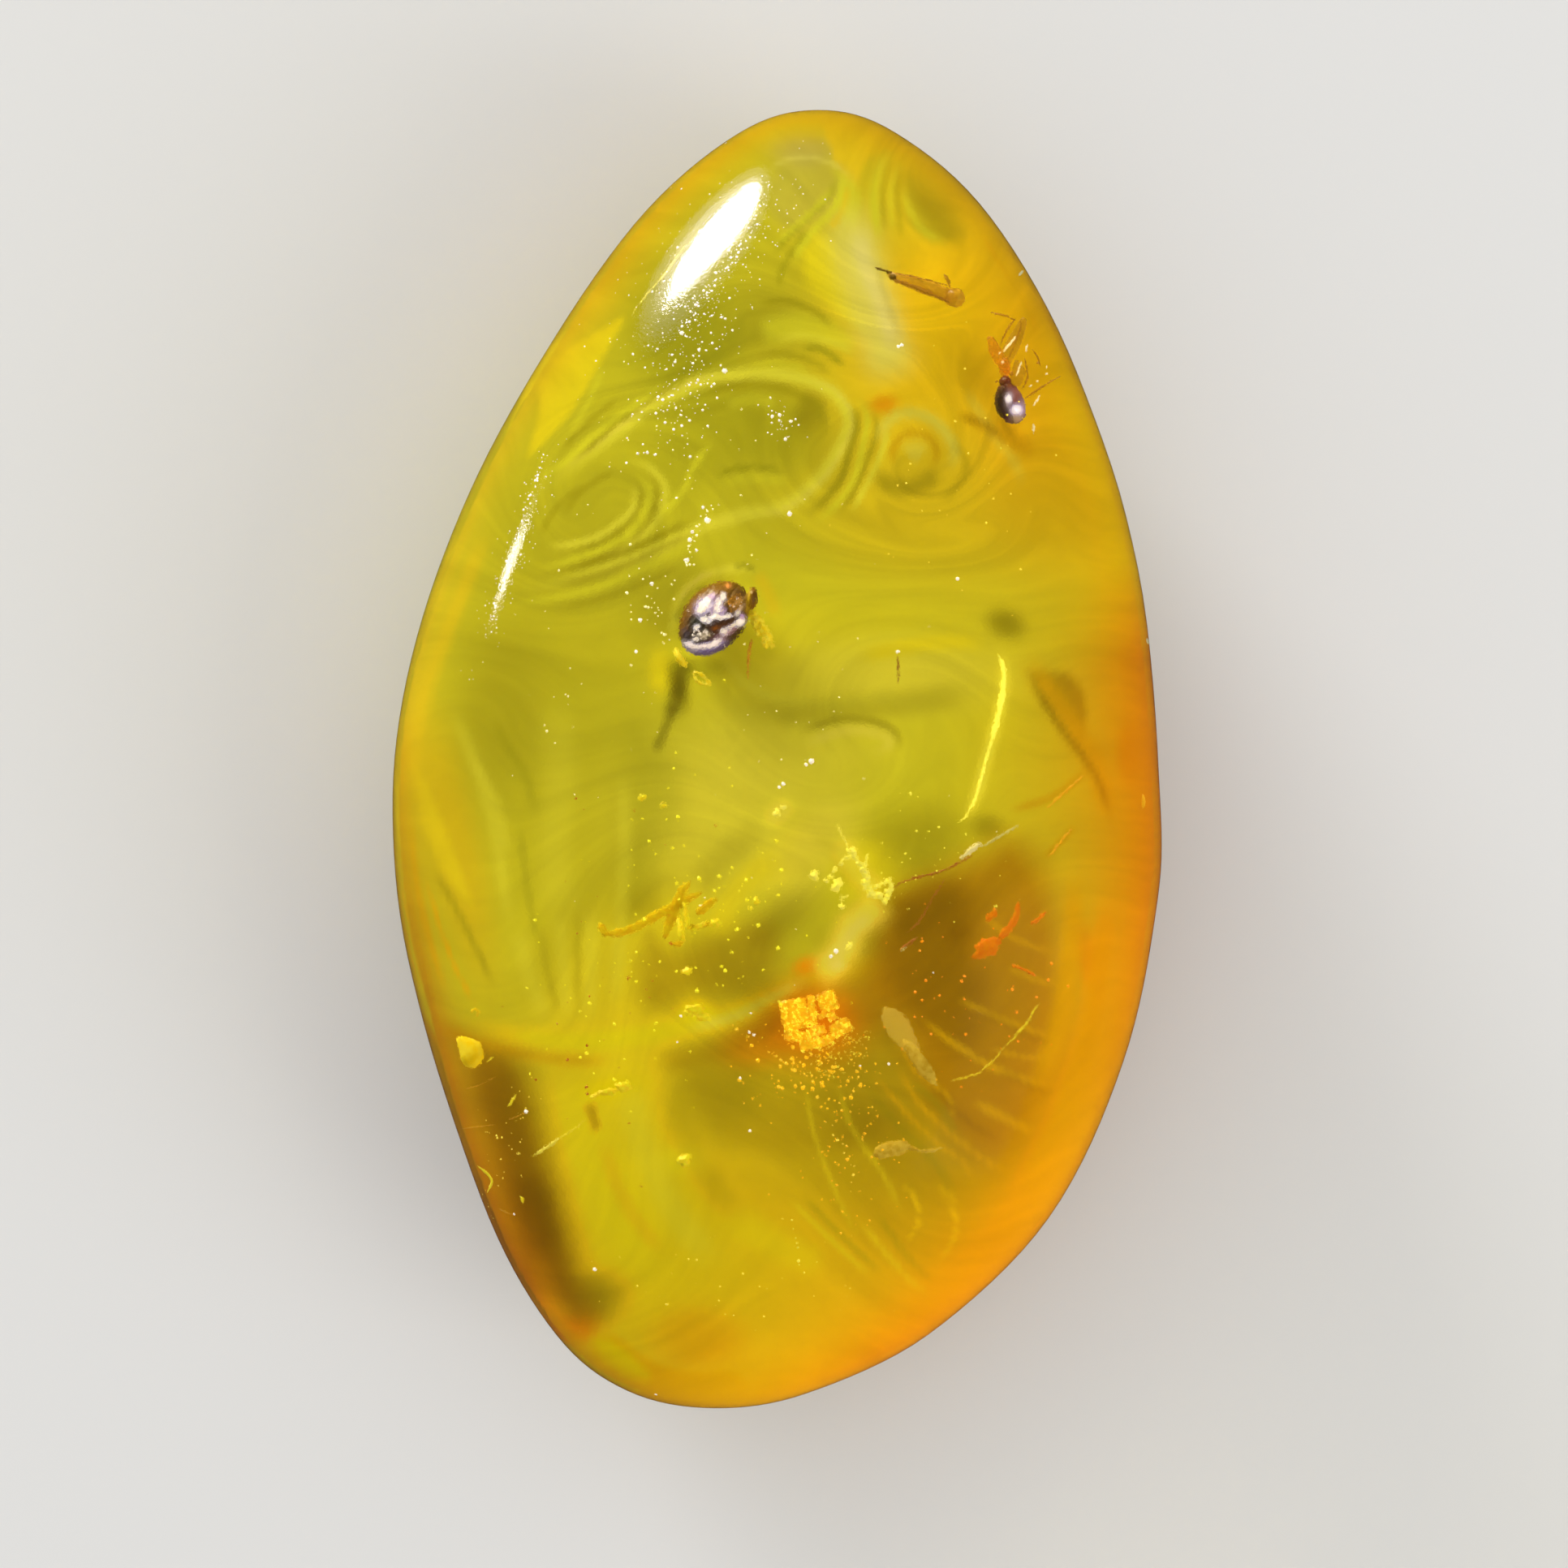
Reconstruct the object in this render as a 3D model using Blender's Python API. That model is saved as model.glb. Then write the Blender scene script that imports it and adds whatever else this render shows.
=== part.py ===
"""A polished amber nugget lying on its belly, with the insects and debris sealed in it.

The amber is one lump in nature. It is parted here on a flat plane, so that each sealed thing
lies in a pocket of its own between the two halves. X is the nugget's width, Y its length and
Z its thickness. The origin is on the surface that it lies on, below the middle of its box.
"""

import math

import bmesh
import bpy
from mathutils import Matrix, Vector

MM = 0.001

# The nugget's driving dimensions, in millimetres.
THICKNESS = 10.8            # from the resting face to the crest
WIDEST_HEIGHT = 4.8         # height of the widest outline
BELLY_DEPTH = 5.0           # depth the belly would have if its resting face weren't worn flat
FULLNESS = 2.2              # 2 is an ellipse in section, more is boxier
CREST_SHIFT = (-0.35, -0.9)  # the crest lies nearer to the broad end than to the narrow one
WAIST = (8.9, 15.0)         # half width and half length of the oval that the crest rounds off to
OVAL_REACH = 0.8            # share of the outline within which the crest turns into that oval

# The outline seen from above, anticlockwise from the right, in millimetres.
OUTLINE = (
    (8.85, -0.8), (8.35, 4.4), (6.95, 8.9), (4.95, 12.5), (2.75, 14.45), (0.95, 15.0),
    (-0.9, 14.45), (-3.3, 12.35), (-5.65, 8.9), (-7.5, 5.2), (-8.65, 1.4), (-8.85, -2.2),
    (-8.15, -6.1), (-6.65, -10.6), (-5.1, -13.3), (-3.45, -14.6), (-1.45, -15.0),
    (0.7, -14.65), (3.5, -13.3), (6.3, -10.6), (8.0, -7.0), (8.75, -3.6),
)
OUTLINE_STEPS = 4           # straight runs from one outline point to the next
BELLY_RINGS = 5
COLLAR_RINGS = 2            # between the widest outline and the parting plane
DOME_RINGS = 9

# The parting plane and the pockets.
PARTING_HEIGHT = 6.2
GAP = 0.3                   # between the halves, and round each sealed thing
POCKET_FULLNESS = 2.8
POCKET_SIDES = 16
POCKET_RINGS = 8

COLOURS = {
    "amber": ((0.86, 0.52, 0.02), 0.05, 0.0),
    "dark_chitin": ((0.07, 0.035, 0.04), 0.2, 0.6),
    "brown_chitin": ((0.42, 0.12, 0.01), 0.3, 0.0),
    "resin_grain": ((0.95, 0.70, 0.04), 0.4, 0.0),
    "bark": ((0.60, 0.10, 0.01), 0.5, 0.0),
    "plant_debris": ((0.80, 0.75, 0.12), 0.5, 0.0),
    "pale_splinter": ((0.78, 0.68, 0.22), 0.5, 0.0),
    "crackled_resin": ((0.95, 0.42, 0.01), 0.2, 0.0),
}


def make_material(name):
    """A plain Principled material in the colour, roughness and metallic value of its name."""
    colour, roughness, metallic = COLOURS[name]
    material = bpy.data.materials.new(name)
    material.use_nodes = True
    shader = material.node_tree.nodes["Principled BSDF"]
    shader.inputs["Base Color"].default_value = (*colour, 1.0)
    shader.inputs["Roughness"].default_value = roughness
    shader.inputs["Metallic"].default_value = metallic
    return material


def make_object(name, bm, material=None):
    """Turn a bmesh in millimetres into an object in metres; with no material it is a cutter."""
    bmesh.ops.recalc_face_normals(bm, faces=bm.faces)
    bmesh.ops.scale(bm, vec=Vector((MM, MM, MM)), verts=bm.verts)
    mesh = bpy.data.meshes.new(name)
    bm.to_mesh(mesh)
    bm.free()
    thing = bpy.data.objects.new(name, mesh)
    bpy.context.scene.collection.objects.link(thing)
    if material is None:
        thing.hide_render = True
        thing.display_type = "WIRE"
        return thing
    mesh.materials.append(make_material(material))
    mesh.shade_smooth()
    mesh.set_sharp_from_angle(angle=math.radians(40))
    return thing


def boolean(thing, other, operation, crossing=False):
    """Add or cut away another shape; crossing is for shapes whose own parts overlap."""
    modifier = thing.modifiers.new(operation.lower(), "BOOLEAN")
    modifier.object = other
    modifier.operation = operation
    modifier.solver = "EXACT"
    modifier.use_self = crossing


def smooth_outline(points, steps):
    """Points of a closed curve that passes smoothly through the given ones."""
    smooth = []
    count = len(points)
    for i in range(count):
        before, start, end, after = (Vector(points[(i + k) % count]) for k in (-1, 0, 1, 2))
        for step in range(steps):
            t = step / steps
            smooth.append(
                start
                + 0.5 * t * (end - before)
                + t * t * (before - 2.5 * start + 2 * end - 0.5 * after)
                + 0.5 * t ** 3 * (3 * (start - end) + after - before)
            )
    return smooth


def ring_points(angle):
    """The nugget's section at an angle up its side: 0 at the widest outline, 90 at the crest."""
    power = 2 / FULLNESS
    depth = THICKNESS - WIDEST_HEIGHT if angle > 0 else BELLY_DEPTH
    rise = math.copysign(abs(math.sin(angle)) ** power, angle)
    reach = math.cos(angle) ** power
    height = WIDEST_HEIGHT + depth * rise
    share = min(1.0, reach / OVAL_REACH)
    likeness = share * share * (3 - 2 * share)
    shift = Vector(CREST_SHIFT) * (rise * rise if angle > 0 else 0.0)
    points = []
    for point in smooth_outline(OUTLINE, OUTLINE_STEPS):
        turn = math.atan2(point.y, point.x)
        oval = 1 / math.hypot(math.cos(turn) / WAIST[0], math.sin(turn) / WAIST[1])
        radius = reach * (likeness * point.length + (1 - likeness) * oval)
        place = shift + point.normalized() * radius
        points.append(Vector((place.x, place.y, height)))
    return points


def angle_at(height):
    """The angle up the nugget's side at which its section has this height."""
    depth = THICKNESS - WIDEST_HEIGHT if height > WIDEST_HEIGHT else BELLY_DEPTH
    rise = (height - WIDEST_HEIGHT) / depth
    return math.copysign(math.asin(abs(rise) ** (FULLNESS / 2)), rise)


def steps_between(start, end, count):
    return [start + (end - start) * i / count for i in range(count)]


def stack_rings(rings, closed_to_crest):
    """Loft the rings from bottom to top, with a flat face at the bottom and a flat face or a
    crest point at the top."""
    bm = bmesh.new()
    bmesh.ops.create_circle(bm, segments=len(rings[0]), radius=1)
    bm.verts.ensure_lookup_table()
    for vertex, place in zip(bm.verts, rings[0]):
        vertex.co = place
    bmesh.ops.contextual_create(bm, geom=bm.edges[:])
    edges = bm.edges[:]
    for ring in rings[1:]:
        made = bmesh.ops.extrude_edge_only(bm, edges=edges)["geom"]
        edges = [item for item in made if isinstance(item, bmesh.types.BMEdge)]
        vertices = [item for item in made if isinstance(item, bmesh.types.BMVert)]
        for vertex, place in zip(vertices, ring):
            vertex.co = place
        edges = [edge for edge in edges if all(end in vertices for end in edge.verts)]
    cap = bmesh.ops.contextual_create(bm, geom=edges)["faces"]
    if closed_to_crest:
        crest = Vector((*CREST_SHIFT, THICKNESS))
        point = bmesh.ops.poke(bm, faces=cap)["verts"][0]
        point.co = crest
    return bm


def amber_halves():
    """The lower half with the resting face, and the upper half with the crest."""
    resting = angle_at(0.0)
    parting_low = angle_at(PARTING_HEIGHT - GAP / 2)
    parting_high = angle_at(PARTING_HEIGHT + GAP / 2)
    lower_angles = steps_between(resting, 0.0, BELLY_RINGS)
    lower_angles += steps_between(0.0, parting_low, COLLAR_RINGS) + [parting_low]
    upper_angles = steps_between(parting_high, math.pi / 2, DOME_RINGS)
    lower = stack_rings([ring_points(angle) for angle in lower_angles], False)
    upper = stack_rings([ring_points(angle) for angle in upper_angles], True)
    return make_object("amber_lower", lower, "amber"), make_object("amber_upper", upper, "amber")


def add_ball(bm, half_sizes, place=(0, 0, 0), turn=0.0, sides=12, rings=8, tilt=0.0):
    """An ellipsoid of these half sizes, turned about Z and tilted about its own Y, in degrees."""
    made = bmesh.ops.create_uvsphere(bm, u_segments=sides, v_segments=rings, radius=1)["verts"]
    matrix = (
        Matrix.Translation(place)
        @ Matrix.Rotation(math.radians(turn), 4, "Z")
        @ Matrix.Rotation(math.radians(tilt), 4, "Y")
        @ Matrix.Diagonal((*half_sizes, 1))
    )
    bmesh.ops.transform(bm, matrix=matrix, verts=made)
    return made


def add_limb(bm, start, end, start_radius, end_radius, sides=6):
    """A tapered rod from one point to another."""
    start, end = Vector(start), Vector(end)
    along = end - start
    made = bmesh.ops.create_cone(
        bm, cap_ends=True, segments=sides, radius1=start_radius, radius2=end_radius, depth=along.length
    )["verts"]
    matrix = Matrix.Translation((start + end) / 2) @ along.to_track_quat("Z", "Y").to_matrix().to_4x4()
    bmesh.ops.transform(bm, matrix=matrix, verts=made)
    return made


def lay(bm, place, heading):
    """Turn a piece about Z by its heading in degrees and lay it at its place in the nugget."""
    matrix = Matrix.Translation((*place, PARTING_HEIGHT)) @ Matrix.Rotation(math.radians(heading), 4, "Z")
    bmesh.ops.transform(bm, matrix=matrix, verts=bm.verts)


def make_inclusion(name, body, added, material, place, heading):
    """Lay a body and the shapes that are joined to it, and fuse them in one solid."""
    lay(body, place, heading)
    thing = make_object(name, body, material)
    if added is not None:
        lay(added, place, heading)
        boolean(thing, make_object(name + "_added", added), "UNION", crossing=True)
    return thing


def round_beetle(place, heading):
    """A domed beetle, its head towards local +X, its two wing cases parted by a groove."""
    groove_depth, groove_width = 0.05, 0.09
    body = bmesh.new()
    for vertex in add_ball(body, (0.92, 0.66, 0.46), sides=20, rings=12):
        if vertex.co.z > 0 and vertex.co.x < 0.5:
            vertex.co.z -= groove_depth * math.exp(-((vertex.co.y / groove_width) ** 2))
        if vertex.co.z < 0:
            vertex.co.z *= 0.6
    added = bmesh.new()
    add_ball(added, (0.22, 0.34, 0.20), place=(0.92, 0.0, -0.06), sides=10, rings=8)
    for side in (-1, 1):
        for start_x, end_x, reach in ((0.5, 0.66, 0.78), (0.0, -0.05, 0.86), (-0.5, -0.66, 0.74)):
            start = (start_x, side * 0.40, -0.15)
            add_limb(added, start, (end_x, side * reach, -0.24), 0.07, 0.035)
    return make_inclusion("round_beetle", body, added, "dark_chitin", place, heading)


def small_beetle(place, heading):
    """A beetle with both wing cases thrown forward past its head, and legs down one side."""
    body = bmesh.new()
    half_length = 0.48
    for vertex in add_ball(body, (half_length, 0.30, 0.28), sides=16, rings=10):
        vertex.co.y *= 1 - 0.25 * vertex.co.x / half_length
    added = bmesh.new()
    add_ball(added, (0.15, 0.16, 0.13), place=(0.53, 0.0, -0.04), sides=8, rings=6)
    add_ball(added, (0.54, 0.16, 0.06), place=(0.97, 0.16, 0.12), turn=12, tilt=-6, sides=10, rings=6)
    add_ball(added, (0.74, 0.15, 0.06), place=(1.18, -0.30, 0.12), turn=-18, tilt=-4, sides=10, rings=6)
    for start_x, end_x, reach in ((0.30, 0.45, 0.85), (0.0, 0.02, 0.95), (-0.28, -0.45, 0.80)):
        add_limb(added, (start_x, -0.18, -0.06), (end_x, -reach, -0.12), 0.05, 0.03)
    return make_inclusion("small_beetle", body, added, "dark_chitin", place, heading)


def slender_insect(place, heading):
    """A slender insect with its round end towards local +X and a thin dark head at the other."""
    half_length = 0.93
    body = bmesh.new()
    for vertex in add_ball(body, (half_length, 0.15, 0.14), sides=10, rings=12):
        along = vertex.co.x / half_length
        vertex.co.y *= 0.95 + 0.25 * along
        vertex.co.z *= 0.95 + 0.25 * along
    added = bmesh.new()
    add_ball(added, (0.21, 0.21, 0.19), place=(0.80, -0.02, 0.0), sides=12, rings=8)
    add_limb(added, (0.52, 0.06, 0.03), (0.56, 0.38, 0.10), 0.05, 0.03)
    return make_inclusion("slender_insect", body, added, "brown_chitin", place, heading)


def resin_drop(place, heading):
    """A teardrop grain, its tip towards local +X."""
    body = bmesh.new()
    for vertex in add_ball(body, (0.31, 0.27, 0.25), sides=14, rings=10):
        if vertex.co.x > 0.1:
            beyond = (vertex.co.x - 0.1) / 0.24
            vertex.co.x += 0.10 * beyond
            vertex.co.y *= 1 - 0.35 * beyond
            vertex.co.z *= 1 - 0.35 * beyond
    return make_inclusion("resin_drop", body, None, "resin_grain", place, heading)


def bark_flake(place, heading):
    """A broken flake with a blunt end and a drawn-out point towards local +X."""
    corners = (
        (-0.50, 0.05), (-0.36, -0.26), (-0.08, -0.28), (0.18, -0.10), (0.82, 0.02), (0.20, 0.14), (-0.12, 0.24),
    )
    thickness = 0.2
    body = bmesh.new()
    vertices = [body.verts.new((x, y, -thickness / 2)) for x, y in corners]
    flake = body.faces.new(vertices)
    raised = bmesh.ops.extrude_face_region(body, geom=[flake])["geom"]
    raised = [item for item in raised if isinstance(item, bmesh.types.BMVert)]
    bmesh.ops.translate(body, vec=(0, 0, thickness), verts=raised)
    bmesh.ops.scale(body, vec=(0.88, 0.8, 1), verts=raised)
    return make_inclusion("bark_flake", body, None, "bark", place, heading)


def debris_clump(place, heading):
    """A clump of plant debris that reaches out in a few blunt arms."""
    # Each arm's length beyond the core, its turn about Z and its rise, in degrees.
    arms = ((0.90, 114, 0), (0.50, 195, 12), (0.45, 35, 20), (0.45, 335, 5), (0.60, 288, -8))
    core = 0.32
    narrowness = 9
    body = bmesh.new()
    bmesh.ops.create_icosphere(body, subdivisions=3, radius=1)
    for vertex in body.verts:
        way = vertex.co.normalized()
        reach = core
        for length, turn, rise in arms:
            turn, rise = math.radians(turn), math.radians(rise)
            arm = Vector((math.cos(turn) * math.cos(rise), math.sin(turn) * math.cos(rise), math.sin(rise)))
            reach += length * math.exp(narrowness * (way.dot(arm) - 1))
        vertex.co = Vector((way.x, way.y, 0.65 * way.z)) * reach
    return make_inclusion("debris_clump", body, None, "plant_debris", place, heading)


def leg_remains(place, heading):
    """A long jointed leg with a shorter one across it and a crumb at the crossing."""
    body = bmesh.new()
    add_limb(body, (-1.05, 0.0, 0.0), (1.05, 0.0, 0.0), 0.08, 0.07, sides=8)
    added = bmesh.new()
    add_limb(added, (0.05, -0.78, 0.02), (1.18, 0.28, 0.02), 0.10, 0.06, sides=7)
    add_limb(added, (0.98, -0.02, -0.02), (1.32, -0.55, -0.02), 0.06, 0.05, sides=7)
    add_ball(added, (0.15, 0.12, 0.12), place=(1.30, -0.58, 0.0), turn=20, sides=8, rings=6)
    add_ball(added, (0.12, 0.19, 0.12), place=(-1.02, 0.06, 0.0), sides=8, rings=6)
    return make_inclusion("leg_remains", body, added, "plant_debris", place, heading)


def splinter(name, length, width, place, heading):
    """A pale sliver, blunt at local -X and thinning to a point at local +X."""
    body = bmesh.new()
    for vertex in add_ball(body, (length / 2, width / 2, 0.12), sides=8, rings=10):
        along = vertex.co.x / (length / 2)
        vertex.co.y *= 1 - 0.35 * along
        vertex.co.z *= 1 - 0.35 * along
    return make_inclusion(name, body, None, "pale_splinter", place, heading)


def crackled_crust(place, heading):
    """A crust of resin that cracked into blocks, the blocks standing at different heights."""
    columns, rows = 5, 4
    half_length, half_width, thickness = 0.78, 0.64, 0.26
    groove = 0.035
    body = bmesh.new()
    bmesh.ops.create_grid(body, x_segments=columns, y_segments=rows, size=1)
    for vertex in body.verts:
        x, y = vertex.co.x, vertex.co.y
        rounding = 1 - 0.22 * (x * x) * (y * y)
        vertex.co.x = half_length * rounding * (x + 0.10 * math.sin(5 * y))
        vertex.co.y = half_width * rounding * (y + 0.08 * math.cos(6 * x))
        vertex.co.z = -thickness / 2
    blocks = body.faces[:]
    below = bmesh.ops.duplicate(body, geom=blocks)["geom"]
    below = [item for item in below if isinstance(item, bmesh.types.BMVert)]
    bmesh.ops.translate(body, vec=(0, 0, -0.08), verts=below)
    bmesh.ops.translate(body, vec=(0, 0, thickness), verts=[v for v in body.verts if v not in below])
    rims = [edge for edge in body.edges if edge.is_boundary]
    bmesh.ops.bridge_loops(body, edges=rims)
    bmesh.ops.inset_individual(body, faces=blocks, thickness=groove, depth=0.0)
    for index, block in enumerate(blocks):
        rise = 0.10 + 0.07 * math.sin(2.4 * index)
        bmesh.ops.translate(body, vec=(0, 0, rise), verts=block.verts)
    return make_inclusion("crackled_crust", body, None, "crackled_resin", place, heading)


# Each sealed thing: the function that makes it, its place (X, Y) and its heading in degrees,
# then its pocket's half length, half width and half height and the pocket's centre in the
# thing's own directions.
INCLUSIONS = (
    (round_beetle, (-1.27, 3.05), 38, (1.55, 1.18, 0.84), (0.10, 0.0, 0.0)),
    (small_beetle, (4.85, 7.91), 95, (1.72, 1.02, 0.68), (0.74, -0.26, 0.0)),
    (slender_insect, (2.87, 10.54), -21, (1.36, 0.68, 0.56), (0.04, 0.07, 0.0)),
    (resin_drop, (-6.32, -6.49), 135, (0.76, 0.62, 0.60), (0.05, 0.0, 0.0)),
    (bark_flake, (4.48, -4.02), 49, (1.10, 0.66, 0.50), (0.16, 0.0, 0.0)),
    (debris_clump, (1.75, -2.62), 0, (1.30, 1.46, 0.78), (-0.10, 0.12, 0.0)),
    (leg_remains, (-2.70, -3.45), 23, (1.80, 1.15, 0.55), (0.10, -0.24, 0.0)),
    (crackled_crust, (0.74, -5.78), 8, (1.28, 1.10, 0.62), (0.0, 0.0, 0.0)),
)
SPLINTERS = (
    ("splinter_long", 1.80, 0.40, (2.80, -6.36), -58, (1.26, 0.55, 0.46)),
    ("splinter_short", 1.40, 0.34, (2.69, -8.58), 2, (1.06, 0.52, 0.46)),
)


def add_pocket(bm, place, heading, half_sizes, centre=(0, 0, 0)):
    """A rounded hollow round a sealed thing, in that thing's own directions."""
    made = bmesh.ops.create_uvsphere(bm, u_segments=POCKET_SIDES, v_segments=POCKET_RINGS, radius=1)["verts"]
    for vertex in made:
        power_sum = sum(abs(value) ** POCKET_FULLNESS for value in vertex.co)
        vertex.co /= power_sum ** (1 / POCKET_FULLNESS)
    matrix = (
        Matrix.Translation((*place, PARTING_HEIGHT))
        @ Matrix.Rotation(math.radians(heading), 4, "Z")
        @ Matrix.Translation(centre)
        @ Matrix.Diagonal((*half_sizes, 1))
    )
    bmesh.ops.transform(bm, matrix=matrix, verts=made)


def main():
    for thing in list(bpy.data.objects):
        bpy.data.objects.remove(thing, do_unlink=True)
    halves = amber_halves()
    pockets = bmesh.new()
    for make, place, heading, half_sizes, centre in INCLUSIONS:
        make(place, heading)
        add_pocket(pockets, place, heading, half_sizes, centre)
    for name, length, width, place, heading, half_sizes in SPLINTERS:
        splinter(name, length, width, place, heading)
        add_pocket(pockets, place, heading, half_sizes)
    cutter = make_object("pockets", pockets)
    for half in halves:
        boolean(half, cutter, "DIFFERENCE", crossing=True)


main()
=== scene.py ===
"""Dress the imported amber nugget: clear polished amber over milky flow, with what is sealed in it."""

import math
import random

import bmesh
import bpy
import numpy as np
from bpy.props import FloatProperty, FloatVectorProperty, PointerProperty
from mathutils import Matrix, Vector, noise
from mathutils.bvhtree import BVHTree


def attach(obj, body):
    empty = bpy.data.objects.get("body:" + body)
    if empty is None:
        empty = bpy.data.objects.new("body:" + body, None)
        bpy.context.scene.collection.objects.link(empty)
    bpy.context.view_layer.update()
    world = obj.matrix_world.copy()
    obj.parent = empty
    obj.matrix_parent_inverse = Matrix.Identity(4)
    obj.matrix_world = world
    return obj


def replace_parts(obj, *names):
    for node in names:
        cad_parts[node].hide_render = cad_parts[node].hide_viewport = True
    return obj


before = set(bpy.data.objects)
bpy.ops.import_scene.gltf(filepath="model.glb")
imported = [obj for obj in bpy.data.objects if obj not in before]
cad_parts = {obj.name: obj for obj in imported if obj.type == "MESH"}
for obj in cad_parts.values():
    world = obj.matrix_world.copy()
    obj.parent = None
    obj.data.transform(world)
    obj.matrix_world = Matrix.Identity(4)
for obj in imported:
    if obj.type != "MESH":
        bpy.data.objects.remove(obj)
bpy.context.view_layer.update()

bl_info = {
    "name": "Polished amber nugget",
    "version": (1, 0, 0),
    "blender": (4, 5, 0),
    "location": "3D View > Sidebar > Amber",
    "description": "Clear polished amber with milky flow and sealed insects",
    "category": "Object",
}

# Lengths below are in millimetres, and MM turns them to metres.
MM = 0.001

# The nugget's form, as the solids have it.
OUTLINE = (
    (8.85, -0.8), (8.35, 4.4), (6.95, 8.9), (4.95, 12.5), (2.75, 14.45), (0.95, 15.0),
    (-0.9, 14.45), (-3.3, 12.35), (-5.65, 8.9), (-7.5, 5.2), (-8.65, 1.4), (-8.85, -2.2),
    (-8.15, -6.1), (-6.65, -10.6), (-5.1, -13.3), (-3.45, -14.6), (-1.45, -15.0),
    (0.7, -14.65), (3.5, -13.3), (6.3, -10.6), (8.0, -7.0), (8.75, -3.6),
)
OVAL = (8.9, 15.0)
OVAL_REACH = 0.8
WORN_EDGE = 0.1             # softness of the edge round the resting face
AMBER_INDEX = 1.54

# The photograph's frame, and the nugget's box in it, in pixels.
PHOTO_SIDE = 1932
PHOTO_BOX = (485, 136, 1429, 1734)
LENGTH = 30.0
MM_PER_PIXEL = LENGTH / (PHOTO_BOX[3] - PHOTO_BOX[1] + 1)
EYE_HEIGHT = 204.8
OUTLINE_HEIGHT = 4.8
EYE_X = (PHOTO_SIDE / 2 - (PHOTO_BOX[0] + PHOTO_BOX[2]) / 2) * MM_PER_PIXEL
EYE_Y = ((PHOTO_BOX[1] + PHOTO_BOX[3]) / 2 - PHOTO_SIDE / 2) * MM_PER_PIXEL
EYE = Vector((EYE_X, EYE_Y, EYE_HEIGHT))


class Form:
    """A rounded body over the nugget's outline: how far it spreads, its widest height, the
    depths of its dome and belly, how boxy it is, and where its crest lies."""

    def __init__(self, spread, widest, dome, belly, fullness, crest):
        self.spread = spread
        self.widest = widest
        self.dome = dome
        self.belly = belly
        self.fullness = fullness
        self.crest = Vector(crest)

    def point(self, outline_point, angle):
        """The point over one point of the outline at an angle up the side, in radians."""
        power = 2 / self.fullness
        rise = math.copysign(abs(math.sin(angle)) ** power, angle)
        reach = max(0.0, math.cos(angle)) ** power
        share = min(1.0, reach / OVAL_REACH)
        likeness = share * share * (3 - 2 * share)
        turn = math.atan2(outline_point.y, outline_point.x)
        oval = 1 / math.hypot(math.cos(turn) / OVAL[0], math.sin(turn) / OVAL[1])
        radius = reach * self.spread * (likeness * outline_point.length + (1 - likeness) * oval)
        place = outline_point.normalized() * radius + self.crest * (rise * rise if angle > 0 else 0)
        height = self.widest + (self.dome if angle > 0 else self.belly) * rise
        return Vector((place.x, place.y, height))


AMBER_FORM = Form(1.0, 4.8, 6.0, 5.0, 2.2, (-0.35, -0.9))
MILK_FORM = Form(0.965, 4.3, 1.45, 3.4, 2.5, (-0.2, -0.4))

# How finely the two bodies are made: points from one corner of the outline to the next, and
# rings from the bottom to the top.
AMBER_STEPS = 8
AMBER_RINGS = 112
MILK_STEPS = 26
MILK_RINGS = 170
MILK_BELLY_SHARE = 0.15     # share of the cloud's rings that its hidden belly takes
MILK_EVENNESS = 0.75        # how evenly the others lie over its seen side


def curve_point(before, start, end, after, t):
    """The point at a share of the way from start to end on a smooth curve through four points."""
    return (
        start
        + 0.5 * t * (end - before)
        + t * t * (before - 2.5 * start + 2 * end - 0.5 * after)
        + 0.5 * t ** 3 * (3 * (start - end) + after - before)
    )


def smooth_outline(points, steps):
    """Points of a closed curve that passes smoothly through the given ones."""
    smooth = []
    count = len(points)
    for i in range(count):
        corners = [Vector(points[(i + k) % count]) for k in (-1, 0, 1, 2)]
        smooth += [curve_point(*corners, step / steps) for step in range(steps)]
    return smooth


def form_shell(form, steps, rings, ripple, belly_share=0.5, even=0.0):
    """A closed shell in a form, with its surface moved in or out by a ripple in millimetres. The
    belly takes its share of the rings, and even spreads them evenly over the seen side."""
    ring = smooth_outline(OUTLINE, steps)
    bm = bmesh.new()
    bmesh.ops.create_uvsphere(bm, u_segments=len(ring), v_segments=rings, radius=1)
    for vertex in bm.verts:
        flat = Vector((vertex.co.x, vertex.co.y))
        rise = 0.5 + math.asin(max(-1.0, min(1.0, vertex.co.z))) / math.pi
        if rise < belly_share:
            angle = (rise / belly_share - 1) * math.pi / 2
        else:
            angle = (rise - belly_share) / (1 - belly_share) * math.pi / 2
        if even:
            steep = abs(angle) / (math.pi / 2)
            level = math.acos((1 - steep) ** (form.fullness / 2))
            angle = math.copysign((1 - even) * abs(angle) + even * level, angle)
        turn = math.atan2(flat.y, flat.x) / (2 * math.pi) if flat.length > 1e-6 else 0.0
        place = form.point(ring[round(turn * len(ring)) % len(ring)], angle)
        way = vertex.co.copy()
        vertex.co = place + way * ripple(place)
    bmesh.ops.recalc_face_normals(bm, faces=bm.faces)
    return bm


def linear(colour):
    """An sRGB colour, as a hex string, in the linear values that shaders take."""
    values = [int(colour[i:i + 2], 16) / 255 for i in (1, 3, 5)]
    return tuple(v / 12.92 if v <= 0.04045 else ((v + 0.055) / 1.055) ** 2.4 for v in values) + (1.0,)


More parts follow.
